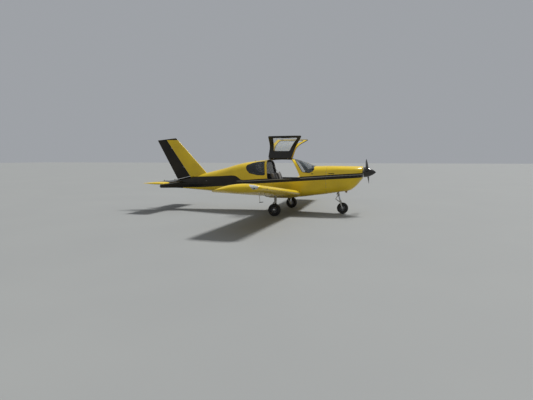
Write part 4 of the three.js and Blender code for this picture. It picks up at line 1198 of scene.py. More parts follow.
def body_width(station, z):
    """Half the body's width at a station and a height below its belt."""
    ring = hull_ring(station)
    half = ring[: len(ring) // 2 + 1]
    low = [(p.z / MM, p.y / MM) for p in half]
    for (z0, y0), (z1, y1) in zip(low[len(low) // 3 :], low[len(low) // 3 + 1 :]):
        if min(z0, z1) <= z <= max(z0, z1) and abs(z1 - z0) > 1e-6:
            return y0 + (y1 - y0) * (z - z0) / (z1 - z0)
    return low[-1][1] if z < low[-1][0] else low[len(low) // 3][1]


def root_collar(section, side):
    """Rings of a fillet that hugs the body's side and runs out on the wing."""
    rings = []
    count = len(section)
    for stand, grow in COLLAR_ROWS:
        ring = []
        for k, (x, h) in enumerate(section):
            (xa, ha), (xb, hb) = section[k - 1], section[(k + 1) % count]
            out = Vector((ha - hb, xb - xa)).normalized()
            out = -out if k and k < count - 1 and out.y * (h - 0.01) < 0 and 0.02 < x else out
            px, pz = x * CHORD + out.x * grow, h * CHORD + out.y * grow
            height = WING_ROOT[2] + pz - px * math.sin(INCIDENCE)
            y = body_width(WING_ROOT[0] + px, height) + stand - WING_ROOT[1]
            ring.append(mm(-px, side * y, pz))
        rings.append(ring)
    return rings


def wing_root_plane(side):
    """The plane inside the cabin wall where the wing ends."""
    return (place(0, side * 574, 690), Vector((0, -side * 0.9716, 0.2366)))


def add_wing(name, side):
    own = wing_frame(side)
    section = foil(WING_DEPTH, WING_CAMBER)
    top, low = (h * CHORD for h in foil_heights(HINGE_CHORD, WING_DEPTH, WING_CAMBER))
    cove = HINGE_AFT - (top - low) / 2 + 1 - RUNNING_GAP
    bm = bmesh.new()
    loft(bm, [span_ring(section, side, y) for y in (-60, *range(200, 4000, 380), TIP_START - 0.5)])
    trim(bm, [(Vector((-cove * MM, 0, 0)), Vector((-1, 0, 0)))])
    rest = bmesh.new()
    for start, end in ((-60, FLAP_SPAN[0] - RUNNING_GAP), (AILERON_SPAN[1] + RUNNING_GAP,
            TIP_START - 0.5)):
        loft(rest, [span_ring(section, side, y) for y in (start, end)])
    trim(rest, [(Vector((-(cove + 0.2) * MM, 0, 0)), AHEAD)])
    join(bm, rest)
    rib_y = (FLAP_SPAN[1] + AILERON_SPAN[0]) / 2 - 4
    rib = ((cove - 4, top - 3), (cove - 4, low + 3), (HINGE_AFT + 60, low + 10),
        (HINGE_AFT + 60, top - 10))
    plate(bm, [mm(-x, side * rib_y, z) for x, z in rib], Vector((0, side * 0.008, 0)))
    trim(bm, [wing_root_plane(side)], own)
    seen(bm, f"wing_skin_{name}", "wing paint", f"wing_{name}", own=own)

    bm = bmesh.new()
    loft(bm, root_collar(foil(WING_DEPTH, WING_CAMBER, 36), side), closed_ends=(False, False))
    seen(bm, f"wing_root_fillet_{name}", "fillet paint",
        wall=walled(0.003), own=own)

    for part, span in (("flap", FLAP_SPAN), ("aileron", AILERON_SPAN)):
        bm = bmesh.new()
        shape = hinged_section(WING_DEPTH, WING_CAMBER, HINGE_CHORD, CHORD)
        loft(bm, [span_ring(shape, side, y) for y in (span[0], (span[0] + span[1]) / 2, span[1])])
        middle = (top + low) / 2
        reach = RUNNING_GAP - 0.5
        bar(bm, mm(-HINGE_AFT, side * (span[0] - reach), middle),
            mm(-HINGE_AFT, side * (span[1] + reach), middle), 8)
        seen(bm, f"{part}_skin_{name}", "wing paint", f"{part}_{name}",
            f"{part}_{name}", own=own)

    add_wing_tip(name, side, section)


def tip_ring(section, side, out, lead, chord, lift, thick):
    """One ring of the wing tip, fuller towards the back than the wing's own section."""
    ring = []
    for k, (x, height) in enumerate(section):
        upper = k <= len(section) // 2
        full = TIP_BULGE[0] * math.sin(math.pi * x**1.6) if upper else TIP_BULGE[
            1] * math.sin(math.pi * x)
        ring.append((x, height + full * min(1.0, out / 0.5)))
    y = TIP_START + out * TIP_REACH
    return span_ring(ring, side, y, lead * CHORD, chord * CHORD, lift * CHORD, thick)


def add_wing_tip(name, side, section):
    """The tip's skin, the clear lens on its front corner and the lamp behind it."""
    own = wing_frame(side)
    bm = bmesh.new()
    loft(bm, [tip_ring(section, side, *row) for row in TIP_ROWS], closed_ends=(False, True))
    bmesh.ops.recalc_face_normals(bm, faces=bm.faces)
    aft = (Vector((-LENS_AFT * MM, 0, 0)), Vector((-1, 0, -LENS_LEAN)).normalized())
    inboard = (Vector((0, side * LENS_START * MM, 0)), Vector((0, -side, 0)))
    mark = bm.faces.layers.int.new("mark")
    for face in carve(bm, bm.faces[:], rounded([aft, inboard], 12, 3, closed=False)):
        face[mark] = 1
    finishes = (("skin", 1, "tip paint", "yellow_composite", f"wing_tip_{name}"),
        ("lens", 0, "clear tip lens", "clear_pane", None))
    for title, dropped, look, slot, node in finishes:
        part = bm.copy()
        layer = part.faces.layers.int["mark"]
        bmesh.ops.delete(part, geom=[f for f in part.faces if f[layer] == dropped], context="FACES")
        seen(part, f"wing_tip_{title}_{name}", look, node, mend=False,
            wall=walled(0.003), own=own)
    bm.free()

    lamp = mm(-165, side * 4222, 30)
    outward = Vector((0.55, side * 0.83, 0.05)).normalized()
    bm = bmesh.new()
    turned(bm, [(0.01, -10), (30, -10), (33, -4), (33, 2), (24, 4), (0.01, 4)], lamp, outward, 32)
    block(bm, lamp + Vector((-0.03, -0.02, -0.05)), lamp + Vector((0.02, 0.0, 0.02)), 0.004)
    seen(bm, f"tip_lamp_mount_{name}", "lamp housing", own=own)
    bm = bmesh.new()
    turned(bm, [(0.01, 3), (13, 3), (14, 10), (13, 22), (8, 30), (0.01, 33)], lamp, outward, 28)
    seen(bm, f"tip_navigation_lamp_{name}", f"{name} lamp glass", own=own)


def add_wing_fittings(name, side):
    """Inspection covers, fuel cap, tie-down ring and vents, and on the right wing the pitot mast
    and the stall vane."""
    own = wing_frame(side)
    lower, screws = bmesh.new(), bmesh.new()
    for out, back in ((500, 480), (1040, 480), (1580, 480), (2120, 480), (2660, 480), (3200, 480),
            (3700, 480), (2760, 860), (3460, 860), (900, 860), (1900, 860)):
        lean = math.atan2(wing_skin(back - 30) - wing_skin(back), 30)
        centre = mm(-back, side * out, wing_skin(back))
        down = Vector((math.sin(lean), 0, -math.cos(lean)))
        turned(lower, [(0.01, -1), (52, -1), (54, 0.4), (52, 1.4), (0.01, 1.6)], centre, down, 40)
        for turn in turns(8):
            spot = centre + Vector((math.cos(turn), math.sin(turn), 0)) * 0.045 + down * 0.0014
            turned(screws, [(0.01, 1.0), (2.6, 1.0), (3.4, 0)], spot, down, 10)
    seen(lower, f"inspection_covers_{name}", "fillet paint", own=own)
    cap = mm(-300, side * 1320, wing_skin(300, 0) - 0.5)
    up = Vector((0.02, 0, 1)).normalized()
    turned(screws, [(0.01, 4), (30, 4), (34, 2.5), (36, 0), (0.01, -1)], cap, up, 40)
    block(screws, cap + Vector((-0.026, -0.004, 0.002)),
        cap + Vector((0.026, 0.004, 0.011)), 0.0015)
    seen(screws, f"wing_fasteners_{name}", "cadmium plate", own=own)

    bm = bmesh.new()
    spar = SPAR_CHORD * CHORD
    ring = mm(-spar, side * 2950, wing_skin(spar) - 20)
    path = [ring + Vector((math.cos(t), 0, math.sin(t))) * 0.017 for t in turns(24)]
    rings = [circle(point, (point - ring).normalized(), ACROSS, 4.5, 10) for point in path]
    loft(bm, rings, joined=True)
    bar(bm, ring + Vector((0, 0, 0.012)), ring + Vector((0, 0, 0.030)), 8)
    seen(bm, f"tie_down_ring_{name}", "cadmium plate", own=own)

    bm = bmesh.new()
    start = mm(-200, side * 3300, wing_skin(200) + 4)
    tube(bm, curve_through([start, start + Vector((0.0, 0, -0.05)),
        start + Vector((0.012, 0, -0.085)), start + Vector((0.05, 0, -0.1))], 5), 5, 12)
    vent = mm(-307, side * 2350, wing_skin(307) + 3)
    tube(bm, curve_through([vent, vent + Vector((-0.004, 0, -0.035)),
        vent + Vector((-0.03, 0, -0.055))], 5), 5, 12)
    seen(bm, f"tank_vents_{name}", "dark alloy", own=own)
    if side == LEFT:
        return
    bm = bmesh.new()
    mast = mm(-346, side * 3300, wing_skin(346) + 4)
    foot = mast + Vector((0.008, 0, -0.225))
    tube(bm, [mast, mast.lerp(foot, 0.5), foot], [9, 7, 6], 14)
    seen(bm, "pitot_mast", "white fittings", own=own)
    bm = bmesh.new()
    tube(bm, [foot + Vector((-0.02, 0, 0.002)), foot + Vector((0.075, 0, 0.004)),
        foot + Vector((0.085, 0, 0.004))], [8, 7.5, 4], 16)
    block(bm, mm(-34, side * 3768 - 20, -22), mm(6, side * 3768 + 20, 4), 0.003)
    seen(bm, "pitot_tube_and_stall_vane", "dark alloy", own=own)


# Tail

FIN_HINGE = ((6430, 1130), (7365, 2440))
FIN_FOOT, FIN_CREST = (1000, 5520, 6905), (2496, 6951, 7739.4)
FIN_TOP = ((6651, 2524), (7700, 2425))
RUDDER_LOW = ((6444, 1150), (6920, 1040))
RUDDER_LUGS = (1480, 2150)
# The fairing under the rudder: station, rise over the crest, half width, and how deep its foot is
FOOT_ROWS = ((6378, -8, 22), (6394, 12, 24), (6420, 19, 25), (6560, 20, 25), (6700, 19, 24),
    (6880, 21, 19), (6914, 18, 17), (6960, 4, 12), (6990, -8, 8))
FOOT_SINK = 16
RUDDER_NOSE, RUDDER_BACK, NOTCH_HALF = 26, 24, 22
TAIL_DEPTH = 0.10
STABILATOR_PIVOT = (6805, 965)
STABILATOR_CHORD, STABILATOR_NOSE = 800, 0.27
# y, lead, chord, thick
STABILATOR_ROWS = ((225, 0, 1, 1), (900, 0, 1, 1), (1440, 0, 1, 1), (1495, 0.008, 0.985, 0.93),
    (1540, 0.03, 0.95, 0.8), (1565, 0.06, 0.9, 0.66), (1585, 0.1, 0.83, 0.5),
    (1595, 0.14, 0.76, 0.35), (1600, 0.2, 0.66, 0.2))


def hinge_station(z):
    (s0, z0), (s1, z1) = FIN_HINGE
    return s0 + (z - z0) * (s1 - s0) / (z1 - z0)


def fin_edges(z):
    """Leading and trailing stations of the fin at a height."""
    (z0, lead0, trail0), (z1, lead1, trail1) = FIN_FOOT, FIN_CREST
    part = (z - z0) / (z1 - z0)
    return lead0 + (lead1 - lead0) * part, trail0 + (trail1 - trail0) * part


def across_plane(start, end, outside):
    """A plane across the body through two points (station, z), its normal towards a third."""
    a, b, c = place(start[0], 0, start[1]), place(end[0], 0,
        end[1]), place(outside[0], 0, outside[1])
    normal = (b - a).cross(ACROSS).normalized()
    return (a, normal if (c - a).dot(normal) > 0 else -normal)


def rudder_ring(z, notched):
    lead, trail = fin_edges(z)
    chord = trail - lead
    hinge = (hinge_station(z) - lead) / chord
    radius = RUDDER_NOSE - 5 * (z - 1150) / 1300
    ring = []
    half = foil_heights(hinge, TAIL_DEPTH, 0)[0] * chord
    for k in range(13):
        turn = math.pi * k / 12
        ahead = -RUDDER_BACK if notched else radius * 1.22 * math.sin(turn)
        ring.append(place(hinge_station(z) - ahead, half * math.cos(turn), z))
    start = hinge + RUDDER_BACK / chord
    spots = [start + (1 - start) * k / 8 for k in range(1, 9)]
    for way, order in ((-1, spots), (1, spots[::-1])):
        ring += [place(lead + x * chord, way * foil_heights(x, TAIL_DEPTH, 0)[0] * chord,
            z) for x in order]
    return ring


def add_fin():
    bm = bmesh.new()
    section = foil(TAIL_DEPTH, 0, 24)
    rings = []
    for k in range(16):
        z = 1000 + 1530 * k / 15
        lead, trail = fin_edges(z)
        rings.append([place(lead + x * (trail - lead), h * (trail - lead), z) for x, h in section])
    loft(bm, rings)
    gap = (RUDDER_NOSE + RUNNING_GAP) * 1.3
    (s0, z0), (s1, z1) = FIN_HINGE
    trim(bm, [across_plane((s0 - gap, z0), (s1 - gap, z1), (8000, 1130)),
        across_plane(*FIN_TOP, (7000, 2600)), across_plane((5520, 1318),
        (6420, 1104), (6000, 900))])
    lean = math.atan2(s1 - s0, z1 - z0)
    for z in RUDDER_LUGS:
        centre = place(hinge_station(z), 0, z)
        along = Vector((-math.sin(lean), 0, math.cos(lean)))
        ahead = Vector((math.cos(lean), 0, math.sin(lean)))
        bar(bm, centre - along * 0.014, centre + along * 0.014, 16, sides=28)
        arm = Matrix.Translation(centre + ahead * 0.03) @ Matrix.Rotation(-lean, 4, "Y")
        lug = bmesh.new()
        block(lug, (-0.03, -0.006, -0.014), (0.03, 0.006, 0.014), 0.001)
        shifted(lug, arm)
        join(bm, lug)
    seen(bm, "fin_skin", "fin paint", "fin")

    bm = bmesh.new()
    notches = [lug + up * shift for lug in RUDDER_LUGS for up in (-1, 1) for shift in (NOTCH_HALF,
        NOTCH_HALF - 0.1)]
    rings = []
    for z in sorted([1000, 1100, 1850, 2300, 2530, *notches]):
        rings.append(rudder_ring(z, any(abs(z - lug) < NOTCH_HALF - 0.05 for lug in RUDDER_LUGS)))
    loft(bm, rings)
    trim(bm, [across_plane(*FIN_TOP, (7000, 2600)), across_plane(*RUDDER_LOW, (6500, 900)),
        (place(0, 0, 1040), Vector((0, 0, -1)))])
    seen(bm, "rudder_skin", "rudder paint", "rudder", "rudder")


def add_rudder_foot():
    """The fairing on the boom that closes the gap under the rudder."""
    bm = bmesh.new()
    rings = []
    for station, rise, half in FOOT_ROWS:
        base = hull_sizes(station)[0] - FOOT_SINK
        angles = [math.pi * k / 14 for k in range(15)]
        rings.append([place(station, half * math.cos(t), base + (rise + FOOT_SINK)
            * math.sin(t) ** 0.7) for t in angles])
    loft(bm, rings)
    seen(bm, "rudder_foot_fairing", "rudder paint")


def add_stabilator():
    station, height = STABILATOR_PIVOT
    own = Matrix.Translation(place(station, 0, height))
    section = foil(TAIL_DEPTH, 0, 24)
    ahead = STABILATOR_NOSE * STABILATOR_CHORD
    bm = bmesh.new()
    for side in (LEFT, RIGHT):
        loft(bm, [span_ring(section, side, y, lead * STABILATOR_CHORD - ahead,
            chord * STABILATOR_CHORD, 0, thick) for y, lead, chord, thick in STABILATOR_ROWS])
    bar(bm, (0, -0.3, 0), (0, 0.3, 0), 30, sides=40)
    shifted(bm, own)
    seen(bm, "stabilator_skin", "stabilator paint", "stabilator", "stabilator")
    bm = bmesh.new()
    for side in (LEFT, RIGHT):
        root = place(7255, side * 380, 975)
        block(bm, root + Vector((-0.02, -0.002, 0.004)), root + Vector((0.02, 0.002, 0.045)), 0.001)
        bar(bm, root + Vector((0, 0, 0.035)), root + Vector((0.19, -side * 0.01, 0.012)), 4)
    seen(bm, "trim_tab_rods", "cadmium plate", body="stabilator")


# Propeller

BLADE_TILT = math.radians(24.5)
BLADE_STATION = 262
SPINNER_RADIUS, SPINNER_BASE = 160, 372
# radius, chord, depth, twist in degrees
BLADE_ROWS = (
    (60, 88, 66, 55), (150, 96, 52, 50), (260, 122, 34, 40), (440, 136, 22, 30), (640, 128, 15, 23),
    (820, 106, 10, 18), (905, 78, 7, 16), (932, 50, 5, 15.2), (940, 30, 4, 15),
)

CUFF_ROWS = ((128, 120, 84, 51), (150, 116, 76, 50))


def blended_rows(rows, steps):
    """Rows of a table with smooth ones between them."""
    points = [Vector(row) for row in rows]
    ends = [2 * points[0] - points[1], *points, 2 * points[-1] - points[-2]]
    out = []
    for a, b, c, d in zip(ends, ends[1:], ends[2:], ends[3:]):
        for k in range(steps):
            t = k / steps
            out.append(b + (c - a) * t * 0.5 * (1 - t) ** 2 + (c - b) * t * t * (3 - 2 * t)
                - (d - b) * 0.5 * t * t * (1 - t))
    return [*out, points[-1]]


def blade_ring(radius, chord, depth, twist):
    """A blade's section at a radius, round at the root and sharper towards its back further out."""
    angle = math.radians(twist)
    ring = []
    for turn in turns(28):
        sharp = 1.0 if radius < 200 else 0.75 + 0.25 * math.cos(turn)
        across, through = math.cos(turn) * chord / 2, math.sin(turn) * depth / 2 * sharp
        ring.append(mm(across * math.sin(angle) + through * math.cos(angle) - BLADE_STATION, radius,
            -across * math.cos(angle) + through * math.sin(angle)))
    return ring


def add_pair(bm, rows):
    """The same sections on both blades."""
    for turn in (0.0, math.pi):
        blade = bmesh.new()
        loft(blade, [blade_ring(*row) for row in rows])
        shifted(blade, Matrix.Rotation(turn, 4, "X"))
        join(bm, blade)


def add_propeller():
    own = Matrix.Translation(place(0, 0, SHAFT_Z)) @ Matrix.Rotation(-BLADE_TILT, 4, "X")
    bm = bmesh.new()
    add_pair(bm, blended_rows(BLADE_ROWS, 4))
    seen(bm, "propeller_blades", "blade paint", "propeller",
        "propeller", own=own)
    bm = bmesh.new()
    base = Vector((-SPINNER_BASE * MM, 0, 0))
    turned(bm, [(0.01, 0), (150, 0), (157, 2), (157, 6), (150, 8), (74, 8), (70, 12), (66, 176),
        (52, 184), (0.01, 186)], base, AHEAD, 56)
    for k in range(8):
        turn = math.tau * (k + 0.5) / 8
        spot = base + Vector((0.008, math.cos(turn) * 0.1, math.sin(turn) * 0.1))
        turned(bm, [(0.01, 9), (6, 9), (7, 7), (7, 0)], spot, AHEAD, 6)
    seen(bm, "propeller_hub", "hub alloy", body="propeller", own=own)

    reach = SPINNER_BASE - 8.3
    profile = [(0.01, 0.0)]
    for part in (k / 32 for k in range(1, 33)):
        profile.append((SPINNER_RADIUS * math.sin(math.pi / 2 * part) ** 0.78, -reach * part))
    bm = bmesh.new()
    turned(bm, profile, Vector((0, 0, 0)), AHEAD, 72)
    seen(bm, "spinner_shell", "spinner paint", "spinner", "propeller",
        wall=walled(0.003), own=own)
    bm = bmesh.new()
    for k in range(12):
        turn = math.tau * (k + 0.5) / 12
        out = Vector((0.09, math.cos(turn), math.sin(turn))).normalized()
        spot = Vector((-(reach - 14) * MM, math.cos(turn) * 0.1592, math.sin(turn) * 0.1592))
        turned(bm, [(0.01, 1.6), (3.6, 1.4), (4.4, 0)], spot, out, 12)
    add_pair(bm, CUFF_ROWS)
    seen(bm, "spinner_trim", "cuff rubber", body="propeller", own=own)


# Landing gear

TRACK = 2330
MAIN_AXLE_STATION, NOSE_AXLE_STATION = 2980, 1020
MAIN_TYRE, NOSE_TYRE = (193, 155), (180, 125)
MAIN_AXLE_RADIUS, NOSE_AXLE_RADIUS = 18, 15
LEG_INSET = 128
NOSE_FOOT = (1032, 180)
NOSE_RAKE = math.atan2(80, 290)
# The tyre's side: radius and half width as parts of the whole
TYRE_SIDE = ((0.5, 0.62), (0.535, 0.72), (0.6, 0.93), (0.7, 1.0), (0.78, 0.985),
    (0.86, 0.92), (0.92, 0.8))
TYRE_CROWN = (0.7, 0.58, 0.46)
TYRE_GROOVES = (0.36, 0.12)
GROOVE_ROWS = ((3.5, 0), (2.5, 5), (-2.5, 5), (-3.5, 0))
# The rim's side: radius as a part of its seat, half width as a part of the tyre's
RIM_SIDE = ((0.3, 0.5), (0.57, 0.5), (0.6, 0.48), (0.7, 0.23), (0.72, 0.2), (0.86, 0.2),
    (0.875, 0.24), (0.893, 0.58), (0.905, 0.69), (0.925, 0.74), (0.975, 0.74), (1.0, 0.67))


def mirrored_rows(side):
    """A closed profile from one side's rows of (radius, half width)."""
    return [*side, *((r, -out) for r, out in reversed(side)), side[0]]


def tyre_profile(radius, half):
    """A tyre's closed section: beads, side walls and a crown with grooves round it."""

    def crown(out):
        return radius * (1 - 0.1 * (out / half) ** 3)

    side = [(part * radius, out * half) for part, out in TYRE_SIDE]
    side += [(crown(out * half), out * half) for out in TYRE_CROWN]
    for groove in TYRE_GROOVES:
        side += [(crown(groove * half + shift) - depth, groove * half + shift) for shift,
            depth in GROOVE_ROWS]
    return mirrored_rows(side)


def dotted(count, radius, centre, axis, start=0.0):
    """Points spread round a circle."""
    across = AHEAD if abs(axis.x) < 0.5 else UP
    return [centre + Matrix.Rotation(start + math.tau * k / count, 3, axis) @ across * radius * MM
        for k in range(count)]


def add_wheel(name, centre, size, axle, outward, braked):
    """A tyre on a dished rim with its bolts, valve, hub cap and brake disc."""
    radius, half = size[0], size[1] / 2
    axis = Vector((0, outward, 0))
    body = "nose_wheel" if name == "nose" else f"main_wheel_{name}"
    node = "nose" if name == "nose" else f"main_{name}"
    bm = bmesh.new()
    turned(bm, tyre_profile(radius, half), centre, axis, 96)
    seen(bm, f"{node}_tyre_rubber", "tyre rubber", f"{node}_tyre", body)

    seat = 0.5 * radius - 0.3
    bm = bmesh.new()
    rows = [(axle + 0.6, 0.5 * half), *((part * seat, out * half) for part, out in RIM_SIDE)]
    turned(bm, mirrored_rows(rows), centre, axis, 72)
    alloy = "cast wheel alloy"
    seen(bm, f"{node}_rim", alloy, f"{node}_wheel", body)

    bm = bmesh.new()
    face = 0.2 * half
    for way in (1, -1):
        for spot in dotted(6, 0.79 * seat, centre, axis):
            turned(bm, [(0.01, face + 7), (6, face + 7), (7, face + 5), (7, face), (11, face),
                (11, face - 2)], spot, axis * way, 12)
    hub = 0.5 * half
    for spot in dotted(3, 0.45 * seat, centre, axis, 0.5):
        turned(bm, [(0.01, hub + 3), (3.4, hub + 3), (4, hub + 2), (4, hub - 1)], spot, axis, 12)
    seen(bm, f"{node}_rim_bolts", "plated steel", body=body)

    bm = bmesh.new()
    lids = (1,) if braked else (1, -1)
    for way in lids:
        rim = [(axle + 14, hub - 1), (axle + 14, hub + 2), (axle + 11, hub + 7), (axle, hub + 11)]
        if braked:
            rim.append((0.01, hub + 13))
        else:
            rim += [(axle + 0.6, hub + 11), (axle + 0.6, hub - 1)]
        turned(bm, rim, centre, axis * way, 40)
    seen(bm, f"{node}_hub_cap", "chromed steel" if braked else "plated steel",
        body=body)

    bm = bmesh.new()
    spot = dotted(6, 0.81 * seat, centre, axis, math.tau / 12)[1]
    turned(bm, [(4.5, face - 1), (4.5, face + 8), (3, face + 10), (3, face + 20), (4, face + 21),
        (4, face + 28), (0.01, face + 29)], spot, axis, 14)
    seen(bm, f"{node}_valve", "hose rubber", body=body)
    if braked:
        bm = bmesh.new()
        turned(bm, mirrored_rows([(32, 3.5), (65, 3.5), (66, 2.5)]),
            centre - axis * 46 * MM, axis, 72)
        bell = [(axle + 2, -49), (36, -49), (38, -47), (38, -hub + 0.5),
            (axle + 2, -hub + 0.5), (axle + 2, -49)]
        turned(bm, bell, centre, axis, 48)
        seen(bm, f"{node}_brake_disc", "brake disc steel", body=body)


def link_plate(bm, root, knee, root_radius, knee_radius, y, thick):
    """A flat tapered arm with round ends, in an upright plane along the body."""
    along = (knee - root).normalized()
    across = Vector((-along.z, 0, along.x))
    outline = []
    for centre, radius, first in ((root, root_radius, math.pi / 2),
            (knee, knee_radius, -math.pi / 2)):
        for k in range(9):
            turn = first + math.pi * k / 8
            round_ = (along * math.cos(turn) + across * math.sin(turn)) * radius * MM
            outline.append(centre + round_ + Vector((0, y * MM, 0)))
    plate(bm, outline, Vector((0, thick * MM, 0)), 0.0012, 2)


def torque_links(bm, roots, knee, root_radius, knee_radius):
    """Two pairs of arms that meet at the knee."""
    for root in roots:
        for y in (-11.5, 4.5):
            link_plate(bm, root, knee, root_radius, knee_radius, y, 7)


def pin(bm, spot, reach, radius):
    """A bolt across, with a head at one end and a nut at the other."""
    bar(bm, spot - Vector((0, reach * MM, 0)), spot + Vector((0, reach * MM, 0)), radius, sides=16)
    for way in (1, -1):
        turned(bm, [(radius + 3, reach - 5), (radius + 3, reach - 1), (radius + 2, reach),
            (0.01, reach)], spot, Vector((0, way, 0)), 6)


def add_main_gear(name, side):
    """An oil-sprung leg with its torque links, axle, brake and hose, and the wheel."""
    wheel = place(MAIN_AXLE_STATION, side * TRACK / 2, MAIN_TYRE[0])
    leg = wheel - Vector((0, side * LEG_INSET * MM, 0))
    foot = Vector((leg.x, leg.y, 0))
    add_wheel(name, wheel, MAIN_TYRE, MAIN_AXLE_RADIUS, side, True)

    bm = bmesh.new()
    barrel = [(0.01, 330), (35, 330), (37, 333), (37, 349), (34, 352), (34, 500), (36, 503),
        (36, 518), (34, 521)]
    turned(bm, [*barrel, (34, 640), (0.01, 640)], foot, UP, 48)
    knuckle = [(18, -32), (33, -32), (36, -29), (36, 29), (33, 32), (0.01, 32)]
    turned(bm, [(0.01, -32), *knuckle], leg, Vector((0, side, 0)), 48)
    turned(bm, [(0.01, 206), (30, 206), (31, 222), (27, 236), (24.6, 240)], foot, UP, 48)
    for z, root in ((420, 34), (236, 26)):
        for y in (-22, 12):
            block(bm, leg + Vector((-(root + 26) * MM, y * MM, z * MM - leg.z - 0.014)),
                leg + Vector((-(root - 8) * MM, (y + 10) * MM, z * MM - leg.z + 0.014)), 0.004)
    seen(bm, f"main_leg_casting_{name}", "gear enamel", f"main_leg_{name}")

    bm = bmesh.new()
    turned(bm, [(24, 232), (24, 331), (0.01, 331)], foot, UP, 40)
    seen(bm, f"main_leg_piston_{name}", "chromed steel")

    bm = bmesh.new()
    knee = foot + Vector((-0.12, 0, 0.32))
    roots = foot + Vector((-0.05, 0, 0.42)), foot + Vector((-0.042, 0, 0.236))
    torque_links(bm, roots, knee, 13, 10)
    seen(bm, f"main_leg_torque_links_{name}", "gear enamel")

    bm = bmesh.new()
    for spot, reach, radius in ((knee, 18, 5), (roots[0], 26, 6), (roots[1], 26, 6)):
        pin(bm, spot, reach, radius)
    bar(bm, leg + Vector((0, side * 0.03, 0)), wheel + Vector((0, side * 0.044, 0)),
        MAIN_AXLE_RADIUS, sides=32)
    turned(bm, [(26, 33), (26, 40), (MAIN_AXLE_RADIUS, 43)], leg, Vector((0, side, 0)), 6)
    seen(bm, f"main_axle_{name}", "plated steel")

    bm = bmesh.new()
    for low, high, out_low, out_high in ((-78, -42, -84, -51.5), (-77, -61, -40.5, -33),
            (-77, -68.5, -52, -34)):
        block(bm, wheel + mm(low, side * out_low, -22),
            wheel + mm(high, side * out_high, 22), 0.0015)
    block(bm, wheel + mm(-74, side * -99, -18), wheel + mm(4, side * -83, 18), 0.003)
    for z in (-12, 12):
        bar(bm, wheel + mm(-60, side * -94, z), wheel + mm(-60, side * -80, z), 5, sides=12)
    seen(bm, f"brake_caliper_{name}", "caliper alloy")

    bm = bmesh.new()
    hose = [wheel + mm(-62, side * -70, 20), wheel + mm(-72, side * -84, 62),
        foot + Vector((-0.06, side * 0.012, 0.33)), foot + Vector((-0.041, side * 0.02, 0.40)),
        foot + Vector((-0.040, side * 0.006, 0.50)), foot + Vector((-0.040, 0, 0.62))]
    tube(bm, curve_through(hose, 7), 4.5, 12)
    for z in (0.385, 0.49, 0.58):
        turned(bm, [(34.3, -5), (35.8, -5), (35.8, 5), (34.3, 5), (34.3, -5)],
            foot + Vector((0, 0, z)), UP, 32)
    seen(bm, f"brake_hose_{name}", "hose rubber")


